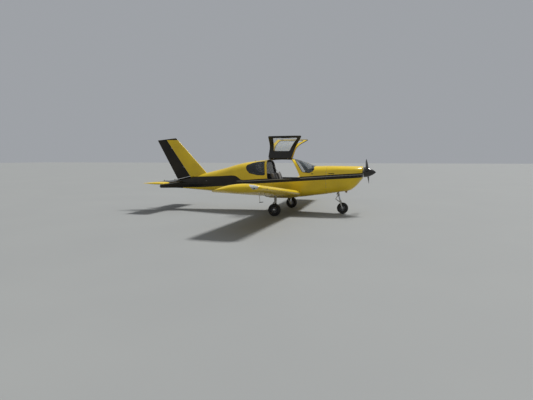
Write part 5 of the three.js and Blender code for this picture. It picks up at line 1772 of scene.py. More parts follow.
def add_nose_gear():
    """The raked nose leg with its braces and damper, and the fork that steers."""
    own = Matrix.Translation(place(NOSE_FOOT[0], 0, NOSE_FOOT[1])) @ Matrix.Rotation(
        -NOSE_RAKE, 4, "Y")
    origin = Vector((0, 0, 0))
    wheel = place(NOSE_AXLE_STATION, 0, NOSE_TYRE[0])
    hub = own.inverted() @ wheel
    add_wheel("nose", wheel, NOSE_TYRE, NOSE_AXLE_RADIUS, RIGHT, False)

    bm = bmesh.new()
    barrel = [(26, 430), (35, 430), (37, 434), (37, 452), (34, 456), (34, 600), (37, 604),
        (37, 676), (34, 680)]
    turned(bm, [*barrel, (34, 770), (30, 780), (0.01, 780), (0.01, 430), (26, 430)], origin, UP, 48)
    wall = at(FIREWALL)
    ends = [(Vector((0, 0, 0.64)), Vector((wall, y * MM, 1.0)), 18) for y in (-150, 150)]
    ends.append((Vector((0, 0, 0.77)), Vector((wall, 0, 1.12)), 20))
    for start, end, radius in ends:
        target = own.inverted() @ end
        bar(bm, start, target, radius, sides=28)
        pad = bmesh.new()
        turned(pad, [(0.01, 9), (radius + 9, 9), (radius + 12, 6), (radius + 12, 0),
            (0.01, 0)], end, AHEAD, 32)
        shifted(pad, own.inverted())
        join(bm, pad)
    seen(bm, "nose_leg_casting", "gear enamel", "nose_leg", own=own)

    bm = bmesh.new()
    bar(bm, mm(-52, -58, 486), mm(-52, 30, 486), 13, sides=24)
    bar(bm, mm(-52, 30, 486), mm(-52, 66, 486), 5, sides=16)
    for y in (-44, 8):
        block(bm, mm(-60, y - 5, 474), mm(-28, y + 5, 498), 0.002)
    seen(bm, "shimmy_damper", "plated steel", own=own)

    bm = bmesh.new()
    path = [(hub.x / MM, 92, hub.z / MM), (9, 92, 70), (4, 91, 150), (0, 72, 205),
        (0, 36, 224), (0, 0, 228)]
    path += [(x, -y, z) for x, y, z in reversed(path[:-1])]
    spots = curve_through([Vector(p) * MM for p in path], 6)
    widths = [18 + 6 * (1 - abs(2 * k / (len(spots) - 1) - 1)) for k in range(len(spots))]
    tube(bm, spots, widths, 24)
    for way in (1, -1):
        turned(bm, [(0.01, 80), (24, 80), (26, 82), (26, 100), (24, 102), (0.01, 102)],
            hub, ACROSS * way, 36)
    turned(bm, [(0.01, 204), (36, 204), (38, 208), (38, 240), (34, 250),
        (25.5, 256)], origin, UP, 44)
    collar = [(26, 413), (33, 413), (34, 415), (34, 427), (33, 428.5), (26, 428.5), (26, 413)]
    turned(bm, collar, origin, UP, 44)
    for z, root in ((244, 34), (420, 28)):
        for y in (-22, 12):
            block(bm, mm(-root - 24, y, z - 10), mm(-root + 8, y + 10, z + 8), 0.003)
    roots = mm(-50, 0, 243), mm(-44, 0, 419)
    knee = mm(-128, 0, 338)
    torque_links(bm, roots, knee, 12, 9)
    seen(bm, "nose_fork_casting", "gear enamel", "nose_fork", "nose_fork", own=own)

    bm = bmesh.new()
    turned(bm, [(0.01, 240), (25, 240), (25, 429), (0.01, 429)], origin, UP, 40)
    seen(bm, "nose_leg_piston", "chromed steel", body="nose_fork", own=own)
    bm = bmesh.new()
    for spot, reach, radius in ((knee, 17, 4.5), (roots[0], 25, 5), (roots[1], 25, 5)):
        pin(bm, spot, reach, radius)
    bar(bm, hub - ACROSS * 0.126, hub + ACROSS * 0.126, NOSE_AXLE_RADIUS, sides=28)
    for way in (1, -1):
        turned(bm, [(21, 102), (21, 110), (NOSE_AXLE_RADIUS, 113)], hub, ACROSS * way, 6)
    seen(bm, "nose_axle", "plated steel", body="nose_fork", own=own)


# Cabin

SEAT_Y, SEAT_HALF = 300, 235
PANEL_OUTLINE = ((1872, 1468), (2150, 1441), (2176, 1436), (2188, 1428), (2186, 1412), (2160, 1400),
    (2128, 1238), (2106, 1120), (2090, 1096), (2070, 1092), (1872, 1120))
PANEL_SIDE = ((600, 1120), (508, 1440))
PANEL_CENTRE = (2144, 1262)
PANEL_TOP = (2168, 1400)
FLOOR_STATIONS = (1560, 1860, 2270, 2600, 3000, 3440, 3900, 4320, 4545)
# Cushions as outlines of (station, z), a little smaller than the space that they swell into
SEAT_PAD = ((2636, 762), (2626, 846), (2652, 876), (2740, 872), (3030, 836),
    (3046, 800), (3022, 762))
SEAT_BACK = ((3084, 868), (3236, 1300), (3262, 1312), (3298, 1306), (3300, 1286),
    (3140, 812), (3104, 806))
BENCH_PAD = ((3586, 800), (3574, 880), (3604, 908), (3700, 902), (4000, 866),
    (4016, 828), (3990, 792))
BENCH_BACK = ((4052, 906), (4190, 1300), (4214, 1310), (4248, 1304), (4250, 1284),
    (4108, 846), (4072, 838))
VOXEL = 0.006
SWELL, SWELL_FRAMES = 0.024, 20
PAD_ROUND, PAD_FILL = 0.022, 0.8
SEWN_PITCH, SEWN_DEPTH = 0.058, 0.0075
BELT_WIDTH, BELT_THICKNESS = 46, 1.6
# The way that the sewn faces of cushions and of backs look
PAD_FACE, BACK_FACE = Vector((-0.1, 0, 1)), Vector((1, 0, 0.33))


def strap(bm, path, across):
    """A belt along a path; across gives the way its width lies."""
    rings = []
    for i, point in enumerate(path):
        ahead = (path[min(i + 1, len(path) - 1)] - path[max(i - 1, 0)]).normalized()
        wide = (across - ahead * across.dot(ahead)).normalized() * BELT_WIDTH / 2 * MM
        out = ahead.cross(wide).normalized() * BELT_THICKNESS / 2 * MM
        rings.append([point + wide + out, point - wide + out, point - wide - out,
            point + wide - out])
    loft(bm, rings)


def add_floor():
    bm = bmesh.new()
    rings = []
    for station in FLOOR_STATIONS:
        low = hull_sizes(station)[6] + 44
        half = body_width(station, low + 8) - 40
        spots = ((-half, low + 26), (-half + 60, low), (half - 60, low), (half, low + 26),
            (half, low + 38), (half - 62, low + 12), (-half + 62, low + 12), (-half, low + 38))
        rings.append([place(station, y, z) for y, z in spots])
    loft(bm, rings)
    seen(bm, "cabin_carpet", "cabin carpet")

    bm = bmesh.new()
    for y in (-SEAT_Y, SEAT_Y):
        for rail in (-165, 165):
            block(bm, place(3180, y + rail - 14, 572), place(2560, y + rail + 14, 590), 0.003)
    block(bm, place(3560, -510, 575), place(3540, 510, 770), 0.004)
    block(bm, place(4045, -515, 770), place(3560, 515, 785), 0.004)
    seen(bm, "seat_rails", "rail alloy")

    bm = bmesh.new()
    for side in (LEFT, RIGHT):
        for pedal in (-85, 85):
            y = side * SEAT_Y + pedal
            tilt = Matrix.Rotation(math.radians(25), 4, "Y")
            block(bm, place(1905, y - 42, 745), place(1893, y + 42, 855), 0.004, 2, tilt)
            bar(bm, place(1893, y, 795), place(1780, y, 980), 9, sides=14)
        bar(bm, place(1780, side * SEAT_Y - 130, 980), place(1780, side * SEAT_Y + 130,
            980), 12, sides=16)
    seen(bm, "rudder_pedals", "plated steel")


def panel_frame():
    """The panel's coordinates: across to the right, up the panel, and out towards the seats."""
    top, centre = (place(station, 0, z) for station, z in (PANEL_TOP, PANEL_CENTRE))
    up = (top - centre).normalized()
    right = Vector((0, -1, 0))
    return Matrix.Translation(centre) @ Matrix((right, up, right.cross(up))).transposed().to_4x4()


def add_gauge(rings, faces, marks, spot, radius, needle):
    """A round instrument: its bezel, its face, the ticks round it and its needle."""
    turned(rings, [(radius, -6), (radius + 5, -6), (radius + 5, 3), (radius + 3, 5), (radius, 4),
        (radius, -6)], spot, UP, 36)
    turned(faces, [(0.01, 1.2), (radius + 0.4, 1.2), (radius + 0.4, -4), (0.01, -4)], spot, UP, 32)
    for k in range(12):
        turn = Matrix.Rotation(math.tau * k / 12, 4, "Z")
        tick = spot + turn @ Vector((0, radius * 0.84, 1.6)) * MM
        block(marks, tick - Vector((0.0008, radius * 0.00009, 0.0006)),
            tick + Vector((0.0008, radius * 0.00009, 0.0003)), 0, 1, turn)
    tip = Matrix.Rotation(needle, 4, "Z") @ Vector((0, radius * 0.72, 0)) * MM
    bar(marks, spot + Vector((0, 0, 0.0026)) - tip * 0.25,
        spot + tip + Vector((0, 0, 0.0026)), 1.3, 0.5, 8)
    turned(rings, [(0.01, 3.6), (radius * 0.1, 3.6), (radius * 0.1, 1.2),
        (0.01, 1.2)], spot, UP, 16)


def add_panel():
    own = panel_frame()
    bm = bmesh.new()
    plate(bm, [place(s, -640, z) for s, z in PANEL_OUTLINE], Vector((0, 1.28, 0)))
    for side in (LEFT, RIGHT):
        (y0, z0), (y1, z1) = PANEL_SIDE
        along = Vector((0, side * (y1 - y0), z1 - z0)).normalized()
        trim(bm, [(place(2000, side * y0, z0), Vector((0, along.z, -along.y)) * side)])
    seen(bm, "panel_and_glareshield", "glareshield", "instrument_panel")

    rings, faces, marks = bmesh.new(), bmesh.new(), bmesh.new()
    for i, a in enumerate((-392, -300, -208)):
        for j, b in enumerate((56, -38)):
            add_gauge(rings, faces, marks, mm(a, b, 2), 38, 0.9 * i + 2.1 * j)
    for i in range(2):
        for j in range(4):
            add_gauge(rings, faces, marks, mm(186 + 56 * i, 92 - 56 * j, 2), 22, 1.1 * i - 0.8 * j)
    for a in (-498, 470):
        turned(rings, [(22, -6), (32, -6), (32, 4), (28, 8), (22, 4), (16, -2), (0.01, -4),
            (0.01, -6)], mm(a, 60, 0), UP, 36)
    for row in range(5):
        b = 100 - 44 * row
        block(rings, mm(-110, b - 20, -8), mm(82, b + 20, 5), 0.0015)
        block(faces, mm(-88, b - 11, 2), mm(40, b + 12, 5.8), 0.001)
        for a in (-100, 62):
            turned(rings, [(0.01, 20), (6, 20), (7, 18), (7.5, 4), (0.01, 4)], mm(a, b, 0), UP, 16)
    for k in range(8):
        block(marks, mm(-430 + 34 * k, -132, -4), mm(-416 + 34 * k, -110, 7), 0.0015)
    for k in range(12):
        for b in (-134, -114):
            turned(marks, [(0.01, 6), (3.4, 6), (4, 4), (4, -2), (0.01, -2)],
                mm(186 + 24 * k, b, 0), UP, 10)
    block(rings, mm(318, -84, -8), mm(540, 30, 5), 0.003)
    turned(marks, [(0.01, 10), (8, 10), (9, 8), (9, 4), (0.01, 4)], mm(429, 14, 0), UP, 16)
    seen(rings, "instrument_bezels", "panel plastic", own=own)
    seen(faces, "instrument_faces", "dial glass", own=own)
    seen(marks, "instrument_marks", "dial white", own=own)

    bm = bmesh.new()
    plate(bm, [place(s, -85, z) for s, z in ((2050, 1095), (2110, 1100), (2215, 1060), (2215, 1010),
        (2140, 940), (2120, 600), (2050, 600))], Vector((0, 0.17, 0)), 0.006)
    block(bm, place(2560, -70, 585), place(2115, 70, 650), 0.012, 3)
    bar(bm, place(2010, 0, 1462), place(2010, 0, 1490), 9, sides=16)
    turned(bm, [(0.01, -32), (24, -32), (28, -26), (28, 20), (22, 30), (0.01, 32)],
        place(2010, 0, 1512), AHEAD, 28)
    seen(bm, "centre_console", "panel plastic")
    bm = bmesh.new()
    for y in (-36, 0, 36):
        bar(bm, place(2170, y, 1050), place(2192, y, 1128), 3.5, sides=10)
    bar(bm, place(2205, 58, 1010), place(2260, 58, 1016), 4, sides=10)
    seen(bm, "engine_levers", "plated steel")
    for y, title in ((36, "throttle"), (0, "propeller"), (-36, "mixture")):
        bm = bmesh.new()
        turned(bm, [(0.01, -12), (9, -11), (13, -4), (13, 6), (8, 12), (0.01, 13)],
            place(2193, y, 1134), Vector((-0.2, 0, 1)), 20)
        seen(bm, f"{title}_knob", f"{title} knob")


def add_yokes():
    for name, side in SIDES:
        y = side * SEAT_Y
        grips = ((118, 1228), (126, 1190), (118, 1136), (84, 1094), (40, 1086), (0, 1098))
        half = [place(2334, y + out, z) for out, z in grips]
        other = [place(2334, y - out, z) for out, z in reversed(grips[:-1])]
        bm = bmesh.new()
        spots = curve_through(half + other, 6)
        count = len(spots) - 1
        tube(bm, spots, [9.5 + 4.5 * abs(2 * k / count - 1) ** 0.5 for k in range(count + 1)], 16)
        block(bm, place(2347, y - 48, 1092), place(2322, y + 48, 1178), 0.010, 3)
        turned(bm, [(0.01, -8), (26, -8), (30, -2), (30, 6), (22, 12), (14, 14), (0.01, 14)],
            place(2136, y, 1181), Vector((-1, 0, -0.15)), 32)
        seen(bm, f"yoke_wheel_{name}", "panel plastic", f"yoke_{name}")
        bm = bmesh.new()
        bar(bm, place(2120, y, 1183), place(2330, y, 1150), 13, sides=24)
        seen(bm, f"yoke_column_{name}", "chromed steel")


def swollen(pads):
    """Remeshes pads finely, blows them up as cloth and holds each point near where it began."""
    scene = bpy.context.scene
    shown = []
    for pad in pads:
        fine = pad.modifiers.new("Fine", "REMESH")
        fine.mode = "VOXEL"
        fine.voxel_size = VOXEL
        bpy.context.view_layer.update()
        mesh = bpy.data.meshes.new_from_object(
            pad.evaluated_get(bpy.context.evaluated_depsgraph_get()))
        pad.modifiers.clear()
        old, pad.data = pad.data, mesh
        bpy.data.meshes.remove(old)
        soft = pad.modifiers.new("Soft", "CLOTH")
        soft.settings.quality = 4
        soft.settings.mass = 0.35
        soft.settings.tension_stiffness = 18
        soft.settings.compression_stiffness = 12
        soft.settings.bending_stiffness = 0.6
        soft.settings.use_pressure = True
        soft.settings.uniform_pressure_force = 4
        soft.settings.effector_weights.gravity = 0
        soft.point_cache.frame_end = SWELL_FRAMES
        shown.append((pad, [vert.co.copy() for vert in mesh.vertices]))
    for frame_number in range(1, SWELL_FRAMES + 1):
        scene.frame_set(frame_number)
    graph = bpy.context.evaluated_depsgraph_get()
    for pad, start in shown:
        moved = [vert.co.copy() for vert in pad.evaluated_get(graph).data.vertices]
        pad.modifiers.clear()
        for vert, before, after in zip(pad.data.vertices, start, moved):
            step = after - before
            vert.co = before + step * min(1.0, SWELL / max(step.length, 1e-9))
    scene.frame_set(1)


def sewn(pad, centre_y, up):
    """Presses the sewn channels and the seam round them into a pad's face."""
    bm = bmesh.new()
    bm.from_mesh(pad.data)
    bm.normal_update()
    along = Vector((up.z, 0, -up.x))
    reach = [along.dot(vert.co) for vert in bm.verts]
    low, high = min(reach) + 0.075, max(reach) - 0.07
    for vert in bm.verts:
        face = max(0.0, vert.normal.dot(up) - 0.35) / 0.65
        if face <= 0:
            continue
        out = abs(vert.co.y - centre_y)
        where = along.dot(vert.co)
        inside = min(0.152 - out, where - low, high - where)
        near = abs((out + SEWN_PITCH / 2) % SEWN_PITCH - SEWN_PITCH / 2) if inside > 0 else 1.0
        press = math.exp(-((near / 0.007) ** 2)) + math.exp(-((inside / 0.006) ** 2))
        vert.co -= vert.normal * SEWN_DEPTH * min(1.0, press) * min(1.0, face * 1.6)
    bm.to_mesh(pad.data)
    bm.free()


def piped(pad, outline, low_y, high_y):
    """Piping along both sides of a pad, laid on its surface."""
    surface = BVHTree.FromPolygons([v.co for v in pad.data.vertices],
        [p.vertices for p in pad.data.polygons])
    bm = bmesh.new()
    for y, way in ((low_y, -1), (high_y, 1)):
        corners = [place(s, y, z) for s, z in outline]
        centre = sum(corners, Vector()) / len(corners)
        spots = []
        for a, b in zip(corners, corners[1:] + corners[:1]):
            spots += [a.lerp(b, k / 14) for k in range(14)]
        path = []
        for spot in spots:
            away = spot + (spot - centre).normalized() * 0.02 + Vector((0, way * 0.02, 0))
            path.append(surface.find_nearest(away)[0])
        for _ in range(3):
            path = [(path[k - 1] + path[k] * 2 + path[(k + 1) % len(path)]) / 4
                for k in range(len(path))]
        rings = []
        for k, point in enumerate(path):
            ahead = (path[(k + 1) % len(path)] - path[k - 1]).normalized()
            out = ahead.cross(ACROSS).normalized()
            rings.append(circle(point, out, out.cross(ahead), 3.8, 10))
        loft(bm, rings, joined=True)
    seen(bm, f"{pad.name}_piping", "piping")


def add_seats():
    """Seat frames, the cushions that are blown up together and their piping."""
    rows = []
    for name, side in SIDES:
        y = side * SEAT_Y
        low, high = y - SEAT_HALF + 14, y + SEAT_HALF - 14
        rows.append((f"seat_cushion_{name}", SEAT_PAD, low, high, PAD_FACE, f"seat_{name}"))
        rows.append((f"seat_back_{name}", SEAT_BACK, low, high, BACK_FACE, None))
    for name, low, high in (("left", 8, 506), ("right", -506, -8)):
        node = "rear_bench" if name == "left" else None
        rows.append((f"bench_cushion_{name}", BENCH_PAD, low, high, PAD_FACE, node))
        rows.append((f"bench_back_{name}", BENCH_BACK, low, high, BACK_FACE, None))
    pads = []
    for name, outline, low, high, _, node in rows:
        bm = bmesh.new()
        plate(bm, [place(s, low, z) for s, z in outline],
            Vector((0, (high - low) * MM, 0)), PAD_ROUND, 4)
        bmesh.ops.triangulate(bm, faces=[f for f in bm.faces if len(f.verts) > 4])
        pads.append(seen(bm, name, "seat weave", node, sharp=180))
    swollen(pads)
    for pad, (name, outline, low, high, face, _) in zip(pads, rows):
        sewn(pad, (low + high) / 2 * MM, face.normalized())
        if name.startswith("seat"):
            smooth = pad.modifiers.new("Smooth", "SUBSURF")
            smooth.levels = smooth.render_levels = 1
        pad.data.shade_smooth()
        piped(pad, outline, low, high)

    for name, side in SIDES:
        y = side * SEAT_Y
        bm = bmesh.new()
        for out in (-165, 165):
            for foot, head in ((2680, 2690), (3000, 3010)):
                bar(bm, place(foot, y + out, 590), place(head, y + out, 742), 11, sides=14)
            bar(bm, place(2680, y + out, 600), place(3010, y + out, 738), 8, sides=12)
        block(bm, place(3035, y - 205, 736), place(2650, y + 205, 748), 0.004)
        spine = ((3062, 745), (3120, 790), (3312, 1290), (3320, 1286), (3150, 770), (3080, 730))
        plate(bm, [place(s, y - 190, z) for s, z in spine], Vector((0, 0.38, 0)), 0.002, 1)
        seen(bm, f"seat_frame_{name}", "seat frame enamel")


def add_belts():
    bm, metal_bm = bmesh.new(), bmesh.new()
    for side in (LEFT, RIGHT):
        y = side * SEAT_Y
        across = Vector((1, 0, 0.1))
        for way in (1, -1):
            path = [place(3060, y + way * 222, 640), place(3052, y + way * 244, 800),
                place(3010, y + way * 236, 880), place(2960, y + way * 170, 906),
                place(2930, y + way * 70, 910)]
            strap(bm, curve_through(path, 6), across)
        path = [place(3500, side * 470, 1540), place(3420, side * 440, 1480),
            place(3330, side * 400, 1350), place(3230, side * 380, 1322), place(3160, side * 350,
            1180), place(3060, side * 290, 1000), place(2985, side * 255, 915)]
        strap(bm, curve_through(path, 6), Vector((0.1, 1, 0)))
        block(metal_bm, place(2965, y - 28, 906), place(2900, y + 28, 922), 0.004)
        block(metal_bm, place(3515, side * 478 - 22, 1522),
            place(3490, side * 478 + 10, 1560), 0.003)
    seen(bm, "seat_belts", "belt webbing")
    seen(metal_bm, "belt_buckles", "chromed steel")


# Engine bay, door hinges and small fittings

EXHAUST = ((905, -150, 700), (790, -150, 1056), 34)
# The black cover over the hinges on the roof: station, height above the crown
HINGE_COVER = ((2560, -8), (2610, 6), (2680, 20), (2780, 24), (3260, 24), (3400, 22),
    (3480, 8), (3524, -8))
HINGE_TUBES = ((2704, 2774), (2856, 3264), (3346, 3484))
KNUCKLE_STATIONS, KNUCKLE_LENGTH = (2780, 3270), 34
DOOR_EDGE = (2746, 3441)


def add_engine_bay():
    """Finishes for the engine and the walls, the cooling baffle with its fins and the exhaust."""
    for node, look in (("engine_block", "crankcase alloy"), ("firewall", "firewall steel"),
            ("baggage_wall", "wall felt")):
        for material_slot in frame["nodes"][node].material_slots:
            material_slot.material = finish(look)

    bm = bmesh.new()
    loft(bm, [hull_ring(640, 16), hull_ring(643, 16)])
    seen(bm, "cooling_baffle", "baffle")
    bm = bmesh.new()
    for side in (LEFT, RIGHT):
        y = side * INLET_Y
        for k in range(8):
            z = 1296 + 14 * k
            block(bm, place(636, y - 56, z), place(545, y + 56, z + 3), 0.001, 1)
        bar(bm, place(638, y, 1345), place(552, y, 1345), 36, sides=28)
    seen(bm, "cylinder_fins", "cylinder alloy")

    foot, head, radius = place(*EXHAUST[0]), place(*EXHAUST[1]), EXHAUST[2]
    reach = (head - foot).length / MM
    bm = bmesh.new()
    turned(bm, [(radius - 2.5, 0), (radius, 0), (radius, reach - 1), (radius - 2.5, reach - 1),
        (radius - 2.5, 0)], foot, head - foot, 40)
    turned(bm, [(radius, 150), (radius + 4, 152), (radius + 4, 176), (radius, 178), (radius, 150)],
        foot, head - foot, 40)
    seen(bm, "exhaust_pipe", "heated steel", "exhaust")


def skin_spot(station, z, side):
    """A point on the fuselage's side and the way out of it."""
    here = body_width(station, z)
    slope = (body_width(station, z + 6) - body_width(station, z - 6)) / 12
    lead = (body_width(station + 8, z) - body_width(station - 8, z)) / 16
    return place(station, side * here, z), Vector((lead, side, -slope)).normalized()


def add_studs():
    """Cowl fasteners, the static ports, the vents by the windscreen and the roof's aerial."""
    bm = bmesh.new()
    for side in (LEFT, RIGHT):
        spots = [(station, z) for z in (1236, 1276) for station in range(520, 1480, 118)]
        spots += [(station, z) for station in (1476, 1504) for z in (760, 880, 1000,
            1120, 1340, 1420)]
        for station, z in spots:
            spot, out = skin_spot(station, z, side)
            turned(bm, [(0.01, 1.4), (2, 1.4), (2.2, 0.6), (6.5, 0.6), (7.4, -0.5)], spot, out, 12)
        spot, out = skin_spot(5650, 1010, side)
        turned(bm, [(1.5, -1), (1.5, 1.2), (11, 1.2), (13, -0.5)], spot, out, 24)
    seen(bm, "cowl_fasteners", "plated steel")

    bm = bmesh.new()
    for side in (LEFT, RIGHT):
        for k in range(4):
            spot = skin_spot(1925, 1284 + 8 * k, side)[0]
            block(bm, (at(1958), spot.y - side * 0.004, spot.z - 0.0025),
                (at(1892), spot.y + side * 0.0025, spot.z + 0.0025), 0.001, 1)
    seen(bm, "side_vents", "panel plastic")
    bm = bmesh.new()
    crown = hull_sizes(3950)[0]
    outline = ((-30, -12), (52, -16), (44, 26), (16, 32))
    plate(bm, [place(3950 + s, -5, crown + z) for s, z in outline], Vector((0, 0.01, 0)), 0.003, 2)
    seen(bm, "roof_aerial", "white fittings")


def add_door_hinges():
    """The cover over the roof's hinges, the knuckles of each hinge and the doors' handles."""
    bm = bmesh.new()
    rings = []
    for station, stand in HINGE_COVER:
        crown = hull_sizes(station)[0]
        top, low = crown + stand, min(crown + stand, crown) - 14
        half = [(58, low), (58, top - 7), (55, top - 3), (46, top), (24, top + 1)]
        rings.append([place(station, y, z) for y, z in half + [(-y, z) for y, z in reversed(half)]])
    loft(bm, rings)
    for side in (LEFT, RIGHT):
        for start, end in HINGE_TUBES:
            bar(bm, place(start, side * HINGE_Y, HINGE_Z), place(end, side * HINGE_Y,
                HINGE_Z), 14, sides=20)
        for station in KNUCKLE_STATIONS:
            bar(bm, place(station, side * HINGE_Y, HINGE_Z), place(station + KNUCKLE_LENGTH,
                side * HINGE_Y, HINGE_Z), 10, sides=20)
            block(bm, place(station + KNUCKLE_LENGTH, side * 52, 1742),
                place(station, side * HINGE_Y, 1772), 0.003)
    seen(bm, "roof_hinge_cover", "hinge black")

    for name, side in SIDES:
        swing = door_swing(name, side)
        body = f"door_{name}"
        bm = bmesh.new()
        for station in KNUCKLE_STATIONS:
            start = station + KNUCKLE_LENGTH + 0.5
            ends = place(start, side * HINGE_Y, HINGE_Z), place(start + KNUCKLE_LENGTH,
                side * HINGE_Y, HINGE_Z)
            bar(bm, *ends, 10, sides=20)
            middle = (ends[0] + ends[1]) / 2
            bar(bm, middle, place(start + KNUCKLE_LENGTH / 2, side * 122, 1738), 8, 12, 14)
        seen(bm, f"door_hinge_arms_{name}", "plated steel", body=body, own=swing)
        bm = bmesh.new()
        block(bm, place(DOOR_EDGE[1], side * 84, 1734), place(DOOR_EDGE[0], side * 92, 1757), 0.002)
        out = body_width(3180, 1166)
        rows = ((3240, 3130, out - 3, out + 9, 1156, 1176), (3250, 3120, out - 44, out - 24, 1158,
            1180), (2950, 2650, out - 46, out - 40, 1196, 1214))
        for aft, fore, inner, outer, low, high in rows:
            block(bm, place(aft, side * inner, low), place(fore, side * outer, high), 0.003)
        for station in (2664, 2936):
            block(bm, place(station + 12, side * (out - 44), 1190),
                place(station - 12, side * (out - 22), 1210), 0.002)
        seen(bm, f"door_handles_{name}", "panel plastic", body=body, own=swing)


# Stage

CAMERA_PLACE = (4.341, -13.694, 1.775)
CAMERA_TURN = (math.radians(90 - 5.615), 0.0, math.radians(16.576))
CAMERA_LENS = 28.51


def add_stage():
    scene = bpy.context.scene
    data = bpy.data.cameras.new("Camera")
    data.lens = CAMERA_LENS
    data.sensor_width = 36.0
    data.clip_end = 400.0
    camera = bpy.data.objects.new("Camera", data)
    camera.location = CAMERA_PLACE
    camera.rotation_euler = CAMERA_TURN
    scene.collection.objects.link(camera)
    scene.camera = camera

    bm = bmesh.new()
    bmesh.ops.create_grid(bm, x_segments=1, y_segments=1, size=150.0)
    mesh = bpy.data.meshes.new("studio_floor")
    bm.to_mesh(mesh)
    bm.free()
    floor = bpy.data.objects.new("studio_floor", mesh)
    scene.collection.objects.link(floor)
    recipe = Recipe("studio floor", specular_ior_level=0.2)
    cloud = recipe.noise(recipe.spot(), 0.35, 3.0)
    recipe.link("Base Color", recipe.blend(cloud, (0.255, 0.26, 0.255), (0.285, 0.29, 0.28)))
    recipe.link("Roughness", 0.75 + cloud * 0.1)
    mesh.materials.append(recipe.material)

    world = bpy.data.worlds.new("studio")
    world.use_nodes = True
    sky = world.node_tree.nodes["Background"]
    sky.inputs["Color"].default_value = (0.86, 0.90, 0.96, 1.0)
    sky.inputs["Strength"].default_value = 0.40
    scene.world = world
    for name, energy, angle, turn in (("key", 3.7, 12.0, (-26, 18, 0)),
            ("fill", 0.16, 50.0, (55, 10, 0))):
        lamp = bpy.data.lights.new(name, "SUN")
        lamp.energy = energy
        lamp.angle = math.radians(angle)
        sun = bpy.data.objects.new(name, lamp)
        sun.rotation_euler = [math.radians(v) for v in turn]
        scene.collection.objects.link(sun)
    scene.view_settings.view_transform = "Standard"


# Settings, operators and the panel


class AircraftPaint(bpy.types.PropertyGroup):
    """Paint colours"""

    yellow: bpy.props.FloatVectorProperty(name="Yellow", description="Main body colour",
        subtype="COLOR", size=3, min=0, max=1, default=(0.78, 0.55, 0.030))
    black: bpy.props.FloatVectorProperty(name="Black", description="Stripe, rudder and tail colour",
        subtype="COLOR", size=3, min=0, max=1, default=(0.004, 0.004, 0.0045))
    # The pale colour also paints the highlight along the fin's aft edge.
    pale: bpy.props.FloatVectorProperty(name="Pale Line", description="Thin line inside the stripe",
        subtype="COLOR", size=3, min=0, max=1, default=(0.33, 0.32, 0.28))


class AIRCRAFT_OT_fuselage(bpy.types.Operator):
    """Add the cowls, the cabin shell, the tail boom and their hatches"""

    bl_idname = "aircraft.fuselage"
    bl_label = "Fuselage"

    def execute(self, context):
        add_skins()
        return {"FINISHED"}


class AIRCRAFT_OT_glazing(bpy.types.Operator):
    """Add the windscreen and the rear windows with their seals"""

    bl_idname = "aircraft.glazing"
    bl_label = "Glazing"

    def execute(self, context):
        add_glazing()
        return {"FINISHED"}


class AIRCRAFT_OT_doors(bpy.types.Operator):
    """Add both cabin doors, standing open"""

    bl_idname = "aircraft.doors"
    bl_label = "Doors"

    def execute(self, context):
        add_doors()
        return {"FINISHED"}


class AIRCRAFT_OT_wings(bpy.types.Operator):
    """Add the wing panels, root fillets, flaps, ailerons and tips"""

    bl_idname = "aircraft.wings"
    bl_label = "Wings"

    def execute(self, context):
        for name, side in SIDES:
            add_wing(name, side)
            add_wing_fittings(name, side)
        return {"FINISHED"}


class AIRCRAFT_OT_tail(bpy.types.Operator):
    """Add the fin, the rudder and the stabilator"""

    bl_idname = "aircraft.tail"
    bl_label = "Tail"

    def execute(self, context):
        add_fin()
        add_rudder_foot()
        add_stabilator()
        return {"FINISHED"}


class AIRCRAFT_OT_propeller(bpy.types.Operator):
    """Add the blades, the hub and the spinner"""

    bl_idname = "aircraft.propeller"
    bl_label = "Propeller"

    def execute(self, context):
        add_propeller()
        return {"FINISHED"}


class AIRCRAFT_OT_gear(bpy.types.Operator):
    """Add the legs, the wheels, the brakes and the steering fork"""

    bl_idname = "aircraft.gear"
    bl_label = "Landing Gear"

    def execute(self, context):
        for name, side in SIDES:
            add_main_gear(name, side)
        add_nose_gear()
        return {"FINISHED"}


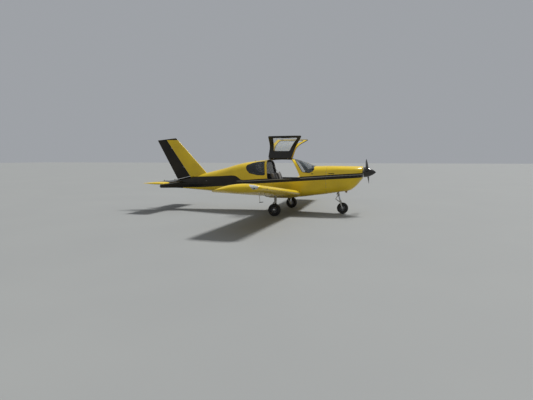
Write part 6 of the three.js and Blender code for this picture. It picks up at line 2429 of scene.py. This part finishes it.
class AIRCRAFT_OT_cabin(bpy.types.Operator):
    """Add the carpet, the instrument panel, the controls, the seats and the belts"""

    bl_idname = "aircraft.cabin"
    bl_label = "Cabin"

    def execute(self, context):
        add_floor()
        add_panel()
        add_yokes()
        add_seats()
        add_belts()
        return {"FINISHED"}


class AIRCRAFT_OT_fittings(bpy.types.Operator):
    """Add the engine bay, the door hinges, the fasteners and the aerial"""

    bl_idname = "aircraft.fittings"
    bl_label = "Fittings"

    def execute(self, context):
        add_engine_bay()
        add_door_hinges()
        add_studs()
        return {"FINISHED"}


class AIRCRAFT_OT_stage(bpy.types.Operator):
    """Add the camera, the floor and the studio light"""

    bl_idname = "aircraft.stage"
    bl_label = "Stage"

    def execute(self, context):
        add_stage()
        return {"FINISHED"}


PIECES = (
    AIRCRAFT_OT_fuselage,
    AIRCRAFT_OT_glazing,
    AIRCRAFT_OT_doors,
    AIRCRAFT_OT_wings,
    AIRCRAFT_OT_tail,
    AIRCRAFT_OT_propeller,
    AIRCRAFT_OT_gear,
    AIRCRAFT_OT_cabin,
    AIRCRAFT_OT_fittings,
    AIRCRAFT_OT_stage,
)


class AIRCRAFT_PT_sidebar(bpy.types.Panel):
    """Colours and pieces of the aircraft"""

    bl_idname = "AIRCRAFT_PT_sidebar"
    bl_label = "Light Aircraft"
    bl_space_type = "VIEW_3D"
    bl_region_type = "UI"
    bl_category = "Aircraft"

    def draw(self, context):
        layout = self.layout
        for name in ("yellow", "black", "pale"):
            layout.prop(context.scene.aircraft_paint, name)
        for piece in PIECES:
            layout.operator(piece.bl_idname)


CLASSES = (AircraftPaint, *PIECES, AIRCRAFT_PT_sidebar)


def register():
    for made in CLASSES:
        bpy.utils.register_class(made)
    bpy.types.Scene.aircraft_paint = bpy.props.PointerProperty(type=AircraftPaint)


def unregister():
    del bpy.types.Scene.aircraft_paint
    for made in reversed(CLASSES):
        bpy.utils.unregister_class(made)


def main():
    register()
    for piece in PIECES:
        group, name = piece.bl_idname.split(".")
        getattr(getattr(bpy.ops, group), name)()


if __name__ == "__main__":
    main()
